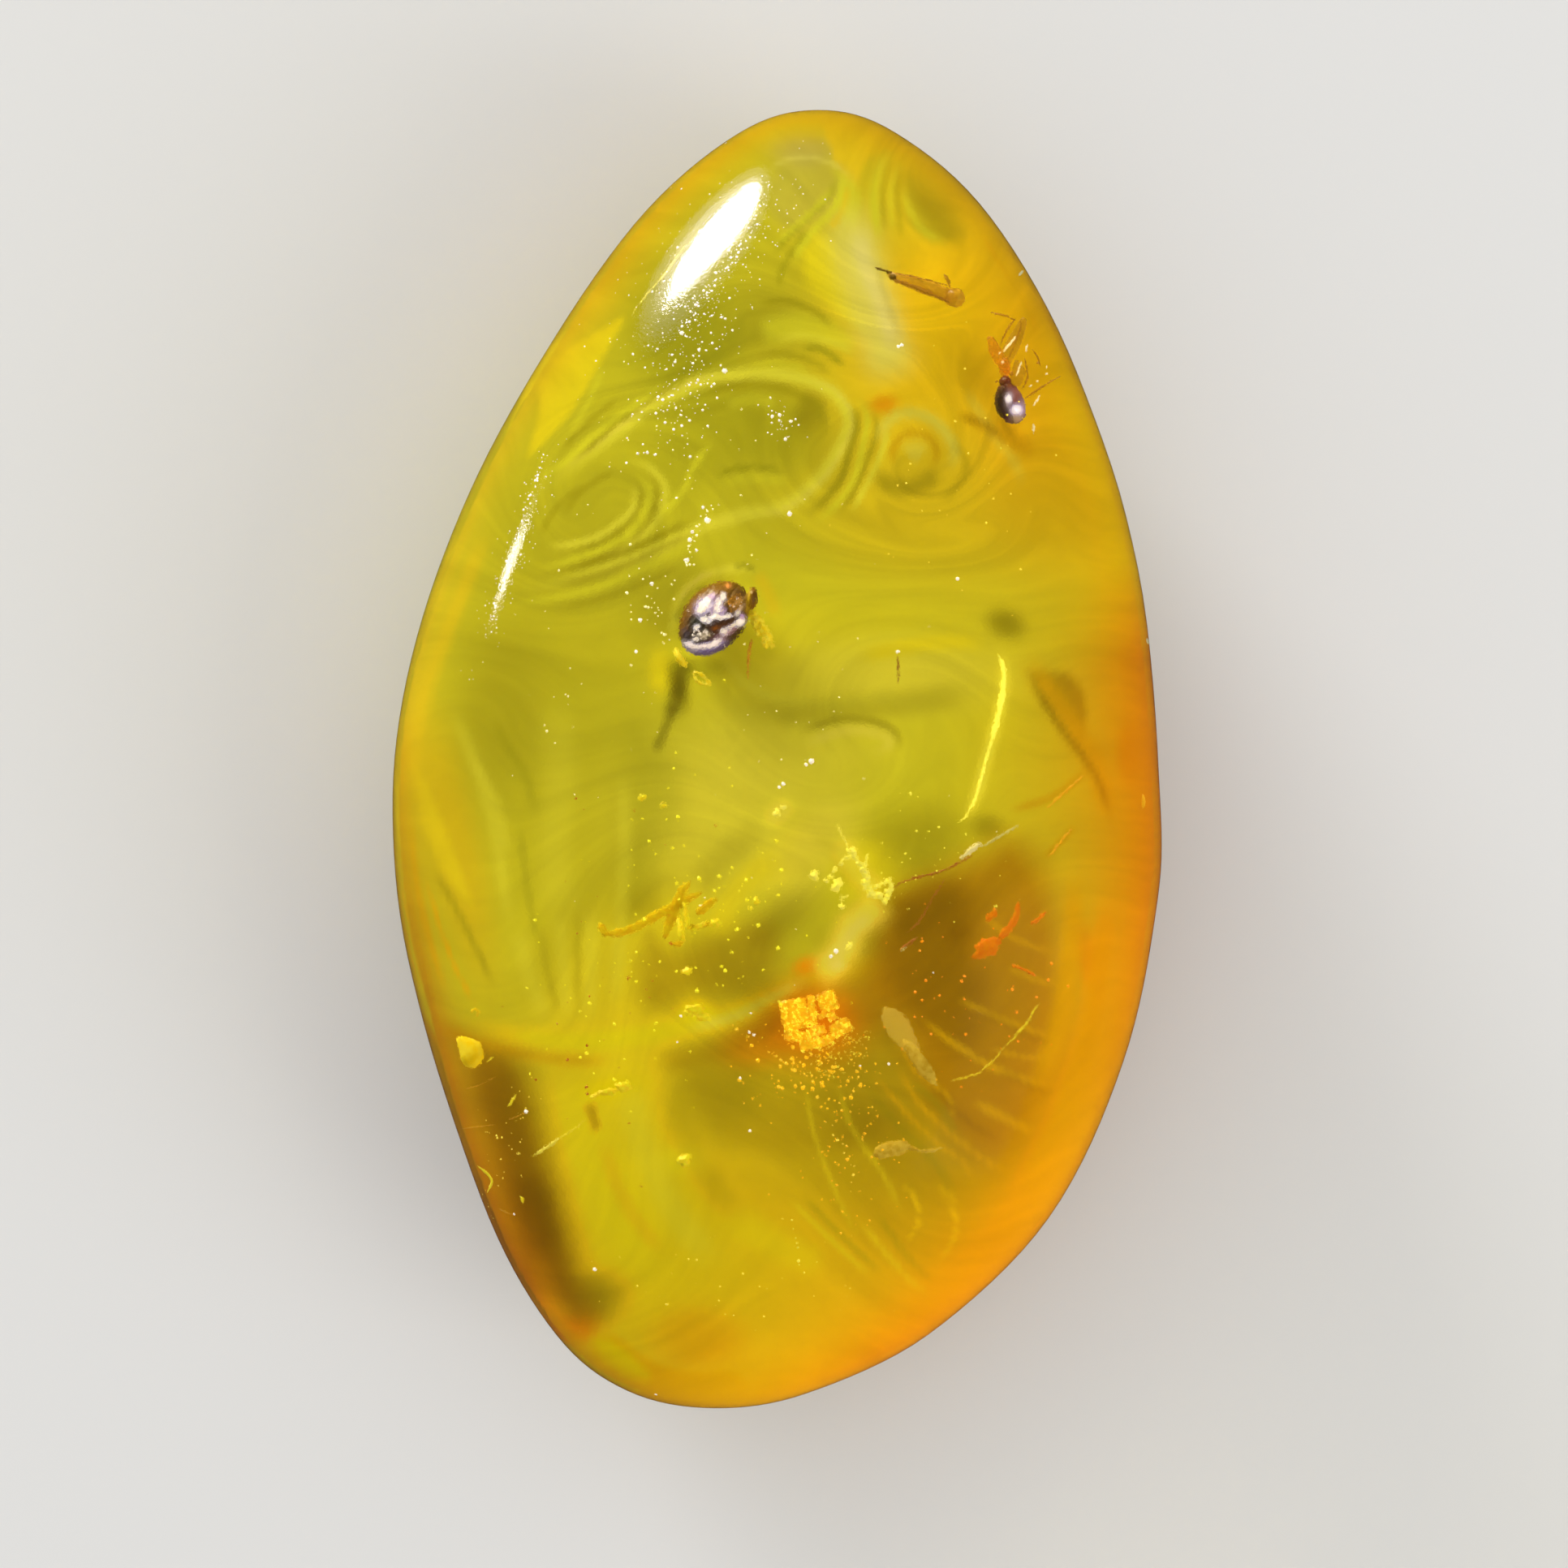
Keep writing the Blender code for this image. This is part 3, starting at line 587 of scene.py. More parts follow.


# Bands of the flow, with some painted shadows, glows and reflections among them: colour, width in pixels,
# strength, then its pixels.
BANDS = (
    ("pale_lime", 15, 0.85, ((636, 630), (648, 616), (690, 586), (730, 556), (771, 525), (801, 500),
        (836, 483), (871, 468), (901, 463), (941, 460), (981, 465), (1020, 480), (1040, 500), (1045, 525),
        (1032, 556), (1012, 586), (986, 611), (961, 626), (921, 633), (891, 641), (871, 647), (841, 661),
        (801, 681), (761, 696), (710, 711), (660, 722), (620, 728))),
    ("straw", 6, 0.6, ((690, 582), (730, 551), (771, 520), (801, 495), (836, 478), (871, 464), (901, 459))),
    ("straw", 6, 0.7, ((981, 462), (1022, 477), (1044, 499), (1050, 525), (1037, 556), (1016, 588),
        (988, 614), (961, 630), (921, 638))),
    ("moss", 8, 0.7, ((700, 570), (730, 548), (761, 519), (791, 499), (821, 480), (840, 470))),
    ("spring", 9, 0.75, ((656, 596), (700, 566), (730, 538), (766, 511), (796, 491), (826, 470))),
    ("moss", 7, 0.5, ((690, 556), (716, 530), (742, 506), (768, 488))),
    ("spring", 8, 0.5, ((700, 540), (716, 512), (730, 484), (744, 450))),
    ("moss", 12, 0.65, ((860, 482), (900, 476), (941, 474), (975, 482), (1004, 500), (1014, 524),
        (1004, 552))),
    ("spring", 14, 0.45, ((890, 500), (930, 492), (960, 500))),
    ("moss", 9, 0.75, ((1046, 492), (1056, 520), (1047, 556), (1036, 590), (1012, 620), (986, 638))),
    ("spring", 9, 0.75, ((1052, 486), (1068, 512), (1064, 545), (1052, 590), (1030, 622), (1000, 648))),
    ("moss", 7, 0.65, ((1074, 500), (1080, 530), (1067, 570), (1052, 606), (1030, 636))),
    ("pale_lime", 8, 0.65, ((1092, 516), (1090, 545), (1076, 580), (1062, 608), (1046, 636))),
    ("pale_lime", 9, 0.75, ((776, 590), (783, 606), (780, 624), (766, 641), (736, 661), (700, 671),
        (668, 672))),
    ("moss", 7, 0.55, ((778, 586), (790, 606), (786, 630), (768, 652), (738, 670), (700, 682))),
    ("spring", 9, 0.75, ((774, 578), (798, 601), (796, 626), (776, 656), (741, 677), (700, 691),
        (655, 702))),
    ("moss", 7, 0.55, ((786, 574), (808, 598), (806, 630), (784, 664), (745, 686), (704, 701), (660, 712))),
    ("pale_lime", 9, 0.6, ((766, 568), (796, 573), (819, 598), (816, 626), (801, 651), (771, 676),
        (731, 693))),
    ("moss", 9, 0.45, ((690, 640), (712, 610), (738, 590), (764, 580))),
    ("moss", 9, 0.4, ((664, 664), (680, 634), (700, 612), (724, 594))),
    ("spring", 7, 0.75, ((882, 538), (861, 566), (850, 584), (844, 601), (826, 623), (801, 643))),
    ("moss", 9, 0.7, ((860, 640), (830, 652), (790, 672), (750, 686), (700, 702))),
    ("spring", 10, 0.65, ((871, 664), (831, 681), (781, 706), (731, 726), (675, 738), (625, 744))),
    ("moss", 8, 0.55, ((866, 654), (826, 670), (776, 694), (726, 712), (680, 722))),
    ("moss", 8, 0.4, ((850, 690), (800, 716), (740, 738), (680, 752))),
    ("leaf", 7, 0.6, ((878, 588), (905, 578), (935, 576), (972, 582))),
    ("spring", 12, 0.45, ((885, 598), (915, 590), (950, 590), (975, 596))),
    ("butter", 56, 0.9, ((1044, 232), (1049, 278), (1057, 316), (1066, 349), (1077, 383), (1087, 417),
        (1099, 451), (1108, 484))),
    ("cream", 24, 0.35, ((1056, 270), (1064, 316), (1076, 349), (1090, 383), (1100, 417), (1108, 446))),
    # The painted bright edge of the reflected disc beside the key lamp's highlight.
    ("butter", 6, 0.4, ((942, 212), (964, 200), (984, 195), (1006, 196), (1030, 205), (1050, 220))),
    ("spring", 9, 0.8, ((1041, 215), (1030, 252), (1006, 280), (986, 306), (976, 330))),
    ("leaf", 7, 0.55, ((1034, 214), (1018, 246), (992, 272), (968, 296), (950, 318))),
    ("spring", 8, 0.65, ((1030, 226), (1004, 258), (975, 284), (950, 306))),
    ("leaf", 7, 0.45, ((1000, 278), (980, 304), (964, 334), (958, 360))),
    ("honey", 7, 0.6, ((1046, 226), (1036, 262), (1018, 286))),
    ("spring", 11, 0.8, ((1084, 300), (1079, 269), (1077, 236), (1086, 202), (1105, 180))),
    ("moss", 7, 0.4, ((1092, 290), (1088, 262), (1088, 236), (1096, 208), (1108, 190))),
    ("spring", 7, 0.45, ((1100, 290), (1098, 262), (1097, 238), (1104, 212), (1118, 196))),
    ("moss", 8, 0.4, ((1112, 296), (1107, 262), (1105, 236), (1113, 206))),
    ("spring", 9, 0.6, ((1112, 230), (1122, 262), (1140, 286), (1168, 300))),
    ("moss", 9, 0.18, ((1082, 320), (1086, 350), (1098, 384), (1110, 420))),
    ("pale_lime", 10, 0.45, ((1060, 440), (1030, 424), (990, 414), (950, 418))),
    ("moss", 8, 0.6, ((930, 378), (965, 370), (1000, 382), (1030, 404))),
    ("leaf", 8, 0.65, ((985, 432), (1005, 428), (1025, 438), (1044, 452))),
    ("moss", 7, 0.5, ((930, 440), (965, 436), (1000, 446), (1030, 462))),
    ("spring", 8, 0.5, ((920, 452), (960, 448), (1000, 458))),
    ("olive", 16, 0.3, ((1128, 226), (1140, 254), (1158, 276), (1186, 292))),
    # A painted ring of light round the round beetle's upper side, with a bright inner line.
    ("pale_lime", 11, 0.8, ((828, 800), (830, 768), (840, 736), (862, 714), (890, 703), (920, 700),
        (944, 712))),
    ("straw", 5, 0.75, ((836, 746), (846, 726), (866, 710), (884, 703))),
    ("leaf", 7, 0.6, ((902, 698), (918, 697), (934, 704))),
    ("honey", 16, 0.5, ((928, 704), (940, 718), (950, 740), (956, 764))),
    ("leaf", 8, 0.55, ((834, 772), (840, 748), (854, 730), (874, 718))),
    # The round beetle's painted shadow, falling on the cloud below it.
    ("painted_beetle_shadow", 20, 0.6, ((846, 806), (842, 826), (836, 850), (828, 876), (820, 892))),
    ("painted_beetle_shadow", 11, 0.5, ((834, 862), (826, 884), (816, 906), (806, 932))),
    # A soft painted glow under the bright line.
    ("painted_glow", 14, 0.75, ((1228, 800), (1236, 820), (1236, 850), (1230, 880), (1222, 910), (1211, 950),
        (1203, 980), (1185, 1018))),
    ("honey", 20, 0.55, ((502, 957), (521, 861), (547, 787), (576, 713), (606, 640))),
    ("straw", 13, 0.85, ((1086, 556), (1086, 532), (1100, 515), (1122, 509), (1148, 517), (1168, 538),
        (1176, 560), (1166, 585))),
    ("straw", 24, 0.6, ((1116, 562), (1127, 556), (1138, 564))),
    ("olive", 20, 0.55, ((1083, 572), (1088, 590), (1100, 599), (1118, 601), (1142, 593), (1160, 577))),
    ("deep_gold", 9, 0.6, ((1102, 580), (1101, 552), (1120, 534), (1146, 540), (1154, 562), (1140, 580))),
    ("olive", 10, 0.32, ((1156, 620), (1184, 594), (1190, 566), (1172, 542))),
    ("straw", 12, 0.4, ((1188, 474), (1201, 500), (1228, 541), (1250, 570), (1263, 602))),
    ("deep_gold", 11, 0.75, ((1175, 508), (1201, 519), (1228, 535), (1250, 549), (1274, 554))),
    ("lemon", 18, 0.75, ((1050, 812), (1090, 802), (1134, 794), (1187, 791), (1222, 799))),
    # The small beetle's painted shadow on the cloud below it.
    ("painted_small_beetle_shadow", 18, 0.6, ((1226, 512), (1244, 530), (1262, 548), (1276, 566))),
    ("umber", 10, 0.45, ((1228, 508), (1242, 530), (1256, 548))),
    ("umber", 6, 0.4, ((1178, 513), (1200, 518), (1220, 526), (1238, 536))),
    ("bright_orange", 5, 0.6, ((1208, 286), (1238, 333), (1267, 383), (1282, 421))),
    ("olive", 10, 0.55, ((980, 903), (1010, 892), (1043, 885), (1080, 890), (1102, 902), (1108, 918),
        (1096, 928))),
    ("straw", 14, 0.6, ((985, 918), (1043, 900), (1085, 905), (1095, 917), (1070, 932))),
    ("pale_lime", 13, 0.6, ((880, 800), (930, 850), (1000, 870), (1080, 862), (1160, 872))),
    ("olive_lime", 30, 0.6, ((900, 850), (960, 878), (1050, 872), (1150, 862), (1210, 850))),
    ("gold", 26, 0.75, ((1257, 800), (1290, 850), (1328, 905), (1352, 945), (1372, 1021))),
    ("olive", 9, 0.8, ((1262, 822), (1285, 862), (1308, 898), (1337, 936), (1356, 968), (1372, 1021))),
    ("umber", 26, 0.32, ((790, 1312), (850, 1302), (905, 1284), (960, 1258), (1000, 1240))),
    ("sunny", 24, 0.7, ((560, 1258), (633, 1276), (737, 1282), (860, 1262), (930, 1238), (1004, 1200))),
    ("deep_gold", 14, 0.55, ((529, 1262), (600, 1288), (680, 1304), (760, 1308))),
    ("primrose", 12, 0.6, ((840, 1270), (905, 1252), (949, 1230), (1000, 1204))),
    ("primrose", 34, 0.85, ((1000, 1206), (1020, 1192), (1040, 1168), (1050, 1142), (1076, 1122),
        (1096, 1104))),
    ("butter", 16, 0.7, ((1016, 1194), (1038, 1168), (1052, 1146), (1078, 1124))),
    ("primrose", 26, 0.55, ((1030, 1030), (1046, 1060), (1066, 1086), (1090, 1100))),
    ("olive", 34, 0.26, ((946, 1012), (905, 1045), (868, 1080), (850, 1100))),
    ("lemon", 30, 0.5, ((965, 1050), (918, 1085), (892, 1130), (880, 1165))),
    ("pale_lime", 15, 0.32, ((551, 860), (585, 940), (608, 1013), (623, 1105), (630, 1150))),
    ("pale_lime", 12, 0.28, ((572, 926), (600, 964), (616, 1000), (629, 1064))),
    ("pale_lime", 40, 0.26, ((682, 850), (690, 960), (684, 1060), (700, 1160))),
    ("leaf", 12, 0.35, ((603, 880), (632, 930), (650, 960), (662, 1010))),
    ("leaf", 10, 0.3, ((640, 1010), (650, 1090), (664, 1170))),
    ("pale_lime", 20, 0.28, ((638, 1140), (652, 1200), (676, 1262))),
    ("pale_lime", 17, 0.28, ((689, 1120), (694, 1190), (700, 1262))),
    ("pale_lime", 18, 0.28, ((728, 1110), (728, 1190), (724, 1262))),
    ("pale_lime", 18, 0.3, ((768, 937), (770, 1040), (764, 1150), (757, 1258))),
    ("moss", 9, 0.3, ((712, 1120), (712, 1190), (712, 1250))),
    ("moss", 10, 0.3, ((664, 1130), (676, 1200), (688, 1250))),
    ("gold", 4, 0.8, ((523, 1075), (536, 1120), (551, 1167), (572, 1212), (592, 1248))),
    ("moss", 8, 0.55, ((531, 1064), (560, 1116), (587, 1167), (613, 1222))),
    ("gold", 7, 0.6, ((505, 1000), (512, 1080), (530, 1160), (552, 1230))),
    ("sunny", 50, 0.3, ((690, 1300), (720, 1400), (760, 1500), (810, 1590))),
    ("pale_lime", 34, 0.25, ((770, 1310), (790, 1400), (830, 1490), (890, 1570))),
    ("moss", 30, 0.28, ((838, 1300), (836, 1380), (870, 1450), (930, 1520))),
    ("moss", 18, 0.22, ((740, 1400), (770, 1480), (820, 1550))),
    ("sunny", 36, 0.35, ((880, 1480), (950, 1530), (1030, 1560))),
    ("gold", 5, 0.8, ((1217, 300), (1247, 347), (1268, 390), (1279, 418))),
    ("bright_orange", 24, 0.85, ((1366, 1090), (1346, 1250), (1306, 1380), (1246, 1480))),
    ("gold", 24, 0.75, ((1325, 1060), (1318, 1160), (1306, 1260), (1270, 1350))),
    ("gold", 7, 0.75, ((1131, 1249), (1165, 1279), (1219, 1313), (1263, 1330), (1306, 1343))),
    ("gold", 9, 0.65, ((1196, 1355), (1234, 1376), (1278, 1398))),
    ("gold", 6, 0.6, ((1102, 1308), (1131, 1357), (1170, 1396), (1214, 1430), (1250, 1450))),
    ("gold", 6, 0.6, ((1072, 1318), (1121, 1376), (1160, 1412), (1190, 1435), (1206, 1466))),
    ("gold", 4, 0.6, ((1107, 1279), (1126, 1318), (1156, 1340), (1172, 1362), (1175, 1390))),
    ("sunny", 4, 0.5, ((1107, 1455), (1126, 1474), (1131, 1504), (1116, 1535))),
    ("sunny", 5, 0.5, ((1154, 1452), (1174, 1484), (1176, 1523), (1154, 1560))),
    ("gold", 7, 0.6, ((1175, 1228), (1224, 1252), (1263, 1267), (1304, 1282))),
    ("gold", 5, 0.5, ((1216, 1290), (1250, 1300), (1300, 1306))),
    ("gold", 6, 0.5, ((1240, 1190), (1272, 1206), (1306, 1214))),
    ("gold", 6, 0.5, ((1208, 1128), (1250, 1156), (1300, 1176))),
    ("lemon", 7, 0.45, ((1058, 1504), (1107, 1562), (1146, 1600))),
    ("lemon", 7, 0.45, ((970, 1474), (1019, 1523), (1076, 1576))),
    ("moss", 8, 0.4, ((985, 1468), (1034, 1520), (1090, 1572))),
    ("moss", 9, 0.4, ((1076, 1490), (1120, 1550), (1160, 1590))),
    ("moss", 10, 0.4, ((1060, 1330), (1104, 1384), (1150, 1430), (1180, 1480))),
    ("umber", 8, 0.35, ((1140, 1330), (1190, 1380), (1240, 1410))),
    ("lemon", 6, 0.45, ((1030, 1330), (1050, 1390), (1090, 1450), (1110, 1500))),
    ("lemon", 5, 0.4, ((990, 1330), (1004, 1400), (1030, 1470), (1060, 1530))),
    ("umber", 9, 0.4, ((1226, 1316), (1262, 1334), (1302, 1350))),
    ("umber", 9, 0.35, ((1190, 1240), (1240, 1262), (1300, 1290))),
    ("deep_gold", 10, 0.5, ((1240, 1000), (1300, 980), (1345, 945))),
    ("deep_gold", 8, 0.5, ((1284, 1060), (1308, 1036), (1326, 1016))),
    ("moss", 9, 0.45, ((1119, 1330), (1156, 1362), (1180, 1402))),
    ("umber", 12, 0.55, ((725, 1356), (730, 1372), (736, 1396))),
)


def gaps_to(line, pixels):
    """How far each pixel lies from each part of a line, and how far along that part."""
    start, reach = line[:-1], line[1:] - line[:-1]
    away = pixels[:, None, :] - start[None]
    along = np.clip((away * reach[None]).sum(axis=2) / (reach ** 2).sum(axis=1)[None], 0, 1)
    return np.sqrt(((away - along[..., None] * reach[None]) ** 2).sum(axis=2)), along


BAND_ENDS = 0.22            # share of a band's length over which each end fades
BAND_FADE = 0.56            # how far from its middle line a band fades, in widths


def band_share(pixels, width, points):
    """How strongly a band shows at each pixel: full on its middle line, and fading across its
    width and over its ends."""
    line = np.array(spread_curve(points, max(4.0, width / 3)))
    share = np.zeros(len(pixels))
    near = ((pixels > line.min(axis=0) - width) & (pixels < line.max(axis=0) + width)).all(axis=1)
    if not near.any():
        return share
    gap, along = gaps_to(line, pixels[near])
    nearest = gap.argmin(axis=1)
    rows = np.arange(len(gap))
    where = (nearest + along[rows, nearest]) / (len(line) - 1)
    ends = np.clip(np.minimum(where, 1 - where) / BAND_ENDS, 0, 1)
    ends = ends * ends * (3 - 2 * ends)
    share[near] = np.exp(-((gap[rows, nearest] / (BAND_FADE * width)) ** 2.6)) * ends
    return share


def zone_share(pixels, softness, corners):
    """How strongly a zone shows at each pixel: full inside its corners, fading over its edge."""
    points = np.array(spread_curve([*corners, corners[0]], 12))
    gap = gaps_to(points, pixels)[0].min(axis=1)
    reach = points[1:] - points[:-1]
    away = pixels[:, None, :] - points[None, :-1]
    crosses = (away[..., 1] >= 0) != (away[..., 1] - reach[None, :, 1] >= 0)
    rise = np.where(reach[:, 1] == 0, 1e-9, reach[:, 1])
    beyond = away[..., 0] < away[..., 1] * (reach[:, 0] / rise)[None]
    within = (crosses & beyond).sum(axis=1) % 2 == 1
    depth = np.where(within, gap, -gap)
    share = np.clip(0.5 + depth / softness, 0, 1)
    return share * share * (3 - 2 * share)


def soft_patch(pixels, place, halves, tilt):
    """How strongly a soft oval patch shows at each pixel."""
    away = pixels - place
    cosine, sine = math.cos(math.radians(tilt)), math.sin(math.radians(tilt))
    x = (cosine * away[:, 0] - sine * away[:, 1]) / halves[0]
    y = (sine * away[:, 0] + cosine * away[:, 1]) / halves[1]
    return np.exp(-((x * x + y * y) ** 1.5) * 0.7)[:, None]


ZONE_MARGIN = 60            # pixels round a zone in which its soft edge is worked out
RIM_CHUNK = 4000            # pixels whose distance to the rim is worked out at a time


def cloud_colours(pixels):
    """The colour that the cloud should show at each pixel, in linear values."""
    colours = np.tile(tuple(bpy.context.scene.cloud_look.base), (len(pixels), 1))
    for place, halves, tilt, name, strength in PATCHES:
        share = strength * soft_patch(pixels, place, halves, tilt)
        colours = colours * (1 - share) + np.array(linear(COLOURS[name])[:3]) * share
    for name, strength, softness, corners in ZONES:
        points = np.array(corners, float)
        low, high = points.min(axis=0) - ZONE_MARGIN, points.max(axis=0) + ZONE_MARGIN
        near = ((pixels > low) & (pixels < high)).all(axis=1)
        share = np.zeros((len(pixels), 1))
        share[near, 0] = strength * zone_share(pixels[near], softness, corners)
        colours = colours * (1 - share) + np.array(linear(COLOURS[name])[:3]) * share
    for name, width, strength, points in BANDS:
        share = strength * band_share(pixels, width, points)[:, None]
        colours = colours * (1 - share) + np.array(linear(COLOURS[name])[:3]) * share
    # Last, the painted rim glow: light that comes far through the edge, painted over the cloud's rim.
    ring = np.array([photo_pixel(point) for point in smooth_outline(OUTLINE, 16)])
    middle = np.array(photo_pixel(Vector((0, 0))))
    parts = np.array_split(pixels, 1 + len(pixels) // RIM_CHUNK)
    gaps = [((part[:, None, :] - ring[None]) ** 2).sum(axis=2).min(axis=1) for part in parts]
    edge = np.sqrt(np.concatenate(gaps))
    away = pixels - middle
    within = np.abs(away).sum(axis=1) > 0
    turn = np.degrees(np.arctan2(-away[:, 1], away[:, 0])) * within
    turns = [row[0] for row in PAINTED_RIM_GLOW]
    width = np.interp(turn, turns, [row[1] for row in PAINTED_RIM_GLOW])
    painted_glow = np.array([linear(COLOURS[row[2]])[:3] for row in PAINTED_RIM_GLOW])
    painted_glow = np.stack([np.interp(turn, turns, painted_glow[:, k]) for k in range(3)], axis=1)
    share = np.exp(-((edge / width) ** 1.6))[:, None]
    return colours * (1 - share) + painted_glow * share


DAYLIGHT_DOWN = 0.10        # share of the daylight that is lost from the middle to the bottom
DAYLIGHT_LEFT = 0.06        # and from the middle to the left side


def daylight_share(pixels):
    """How much of the daylight reaches the cloud at each pixel: less at the bottom and left."""
    down = DAYLIGHT_DOWN * (pixels[:, 1] - 900) / 700
    right = DAYLIGHT_LEFT * (pixels[:, 0] - 950) / 400
    return (1 - down + right)[:, None]


WAY_IN_AND_OUT = 2.1        # how often light crosses the depth: slanting in and straight out
DARKEST = 0.004             # the least and most that a face inside the amber throws back
PALEST = 0.97


def through_amber(colours, paths):
    """What the cloud's own colour must be to show these colours through the amber above it."""
    look = bpy.context.scene.amber_look
    loss = look.density * (1 - np.array(look.tint)) * MM
    passed = np.exp(-loss[None] * WAY_IN_AND_OUT * paths[:, None])
    return np.clip(colours / (passed * look.daylight), DARKEST, PALEST)


def milk_material():
    """Cloudy amber: resin full of microscopic bubbles, which scatter light as milk does, drawn
    into bands where it flowed."""
    material, output = new_material("cloudy_amber_milk")
    tree = material.node_tree
    flow_at = add_node(tree, "ShaderNodeAttribute", attribute_name="flow").outputs["Vector"]
    # The paint holds the cloud's colours with painted light in them: the beetles' painted shadows, a
    # painted ring of light round the round beetle, painted reflections and glows, and the painted rim glow.
    paint = add_node(tree, "ShaderNodeAttribute", attribute_name="paint")
    stretched = add_node(tree, "ShaderNodeMapping", {"Vector": flow_at, "Scale": (0.2, 1.0, 1.0)})
    broad = add_node(tree, "ShaderNodeTexNoise", {
        "Vector": stretched.outputs[0], "Scale": 0.9, "Detail": 3.0, "Roughness": 0.5, "Distortion": 0.4,
    })
    fine = add_node(tree, "ShaderNodeTexNoise", {
        "Vector": stretched.outputs[0], "Scale": 2.6, "Detail": 2.0, "Roughness": 0.5, "Distortion": 0.6,
    })
    both = add_node(tree, "ShaderNodeMath", {
        0: fine.outputs["Fac"], 1: 0.45, 2: broad.outputs["Fac"],
    }, operation="MULTIPLY_ADD")
    swing = add_node(tree, "ShaderNodeMapRange", {
        "Value": both.outputs[0], "From Min": 0.45, "From Max": 1.0, "To Min": -1.0, "To Max": 1.0,
    })
    stir = add_node(tree, "ShaderNodeMath", {
        0: swing.outputs[0], 1: paint.outputs["Alpha"],
    }, operation="MULTIPLY")
    gain = add_node(tree, "ShaderNodeMath", {0: stir.outputs[0], 1: 1.0}, operation="ADD")
    colour = add_node(tree, "ShaderNodeVectorMath", {
        0: paint.outputs["Color"], "Scale": gain.outputs[0],
    }, operation="SCALE")
    shader = add_node(tree, "ShaderNodeBsdfPrincipled", {
        "Base Color": colour.outputs[0], "Roughness": 0.8, "Specular IOR Level": 0.0,
    })
    tree.links.new(shader.outputs[0], output.inputs["Surface"])
    return material


STIRRED_AT = (980, 480)     # the pixel round which the flow is stirred most
STIRRED_REACH = (420, 260)  # and how far round it, in pixels


class AMBER_OT_milk(bpy.types.Operator):
    """Make the cloudy body of resin inside the clear lump"""

    bl_idname = "amber.milk"
    bl_label = "Cloudy milk"

    def execute(self, context):
        bm = form_shell(
            MILK_FORM, MILK_STEPS, MILK_RINGS, milk_ripple, MILK_BELLY_SHARE, MILK_EVENNESS,
        )
        Nugget.milk = BVHTree.FromBMesh(bm)
        looks = [unbend(vertex.co) for vertex in bm.verts]
        pixels = np.array([photo_pixel(seen) for seen, _ in looks])
        paths = np.array([path for _, path in looks])
        heights = np.array([vertex.co.z for vertex in bm.verts])
        flows = carried_back(pixels) * MM_PER_PIXEL
        flows = np.column_stack([flows, heights * 0.3])
        away = (pixels - STIRRED_AT) / STIRRED_REACH
        stir = context.scene.cloud_look.swing * (1 + np.exp(-(away ** 2).sum(axis=1)))
        # The cloud is painted lighter towards the bottom and left, by the daylight share, to make up for
        # the shade that falls there.
        colours = through_amber(cloud_colours(pixels) / daylight_share(pixels), paths)
        piece = finish_piece("cloudy_milk", bm, milk_material())
        attributes = piece.data.attributes
        attributes.new("flow", "FLOAT_VECTOR", "POINT").data.foreach_set("vector", flows.ravel())
        paint = np.column_stack([colours, stir])
        attributes.new("paint", "FLOAT_COLOR", "POINT").data.foreach_set("color", paint.ravel())
        return {"FINISHED"}


# What is sealed in the amber is modelled in the photograph's pixels: x to the right, y down,
# and a height in pixels above the plane that the things lie in. seal() then moves each point
# to where it shows at that pixel through the dome.
SEALED_HEIGHT = 6.2


class SealedLook(bpy.types.PropertyGroup):
    """Where the sealed things lie, and the colour of the painted light that stands for what the insects'
    film of air mirrors.
    """

    height: FloatProperty(
        name="Sealed height", description="Height of the plane that the sealed things lie in",
        unit="LENGTH", default=SEALED_HEIGHT * MM, min=5.0 * MM, max=7.5 * MM, precision=5,
    )
    # The insects' highlights are emitted in this colour: painted reflections of their film of air.
    film: FloatVectorProperty(
        name="Air film", description="Colour of the light that the insects' film of air mirrors",
        subtype="COLOR", default=(0.74, 0.64, 1.0), min=0, max=1,
    )


def sealed_point(x, y, up=0.0):
    """The point that a pixel shows in the plane of the sealed things, or some pixels above it."""
    plane = bpy.context.scene.sealed_look.height / MM
    return at_height(x, y, plane + up * MM_PER_PIXEL)


def seal(bm):
    """Move a bmesh in photograph pixels to its place in the amber."""
    for vertex in bm.verts:
        vertex.co = sealed_point(*vertex.co)
    bmesh.ops.recalc_face_normals(bm, faces=bm.faces)
    return bm


def amber_above(x, y):
    """How much amber lies over the plane of the sealed things at a pixel, in millimetres."""
    entry, _ = look_in(seen_point(x, y))
    return (entry - sealed_point(x, y)).length


def shown_as(colour, x, y):
    """The colour that a sealed thing must have to look like the given one from outside."""
    wanted = np.array([linear(colour)[:3]])
    return (*through_amber(wanted, np.array([amber_above(x, y)]))[0], 1.0)


def add_blob(bm, centre, halves, tilt=0.0, lumps=0.0, grain=0.12, detail=3):
    """Add a rounded lump: its centre, half sizes, tilt in degrees and how uneven it is."""
    made = bmesh.ops.create_icosphere(bm, subdivisions=detail, radius=1)["verts"]
    turn = Matrix.Rotation(math.radians(-tilt), 3, "Z")
    for vertex in made:
        co = Vector(a * b for a, b in zip(vertex.co, halves))
        if lumps:
            co *= 1 + lumps * noise.noise(co * grain + Vector(centre) * 0.37)
        vertex.co = turn @ co + Vector(centre)
    return made


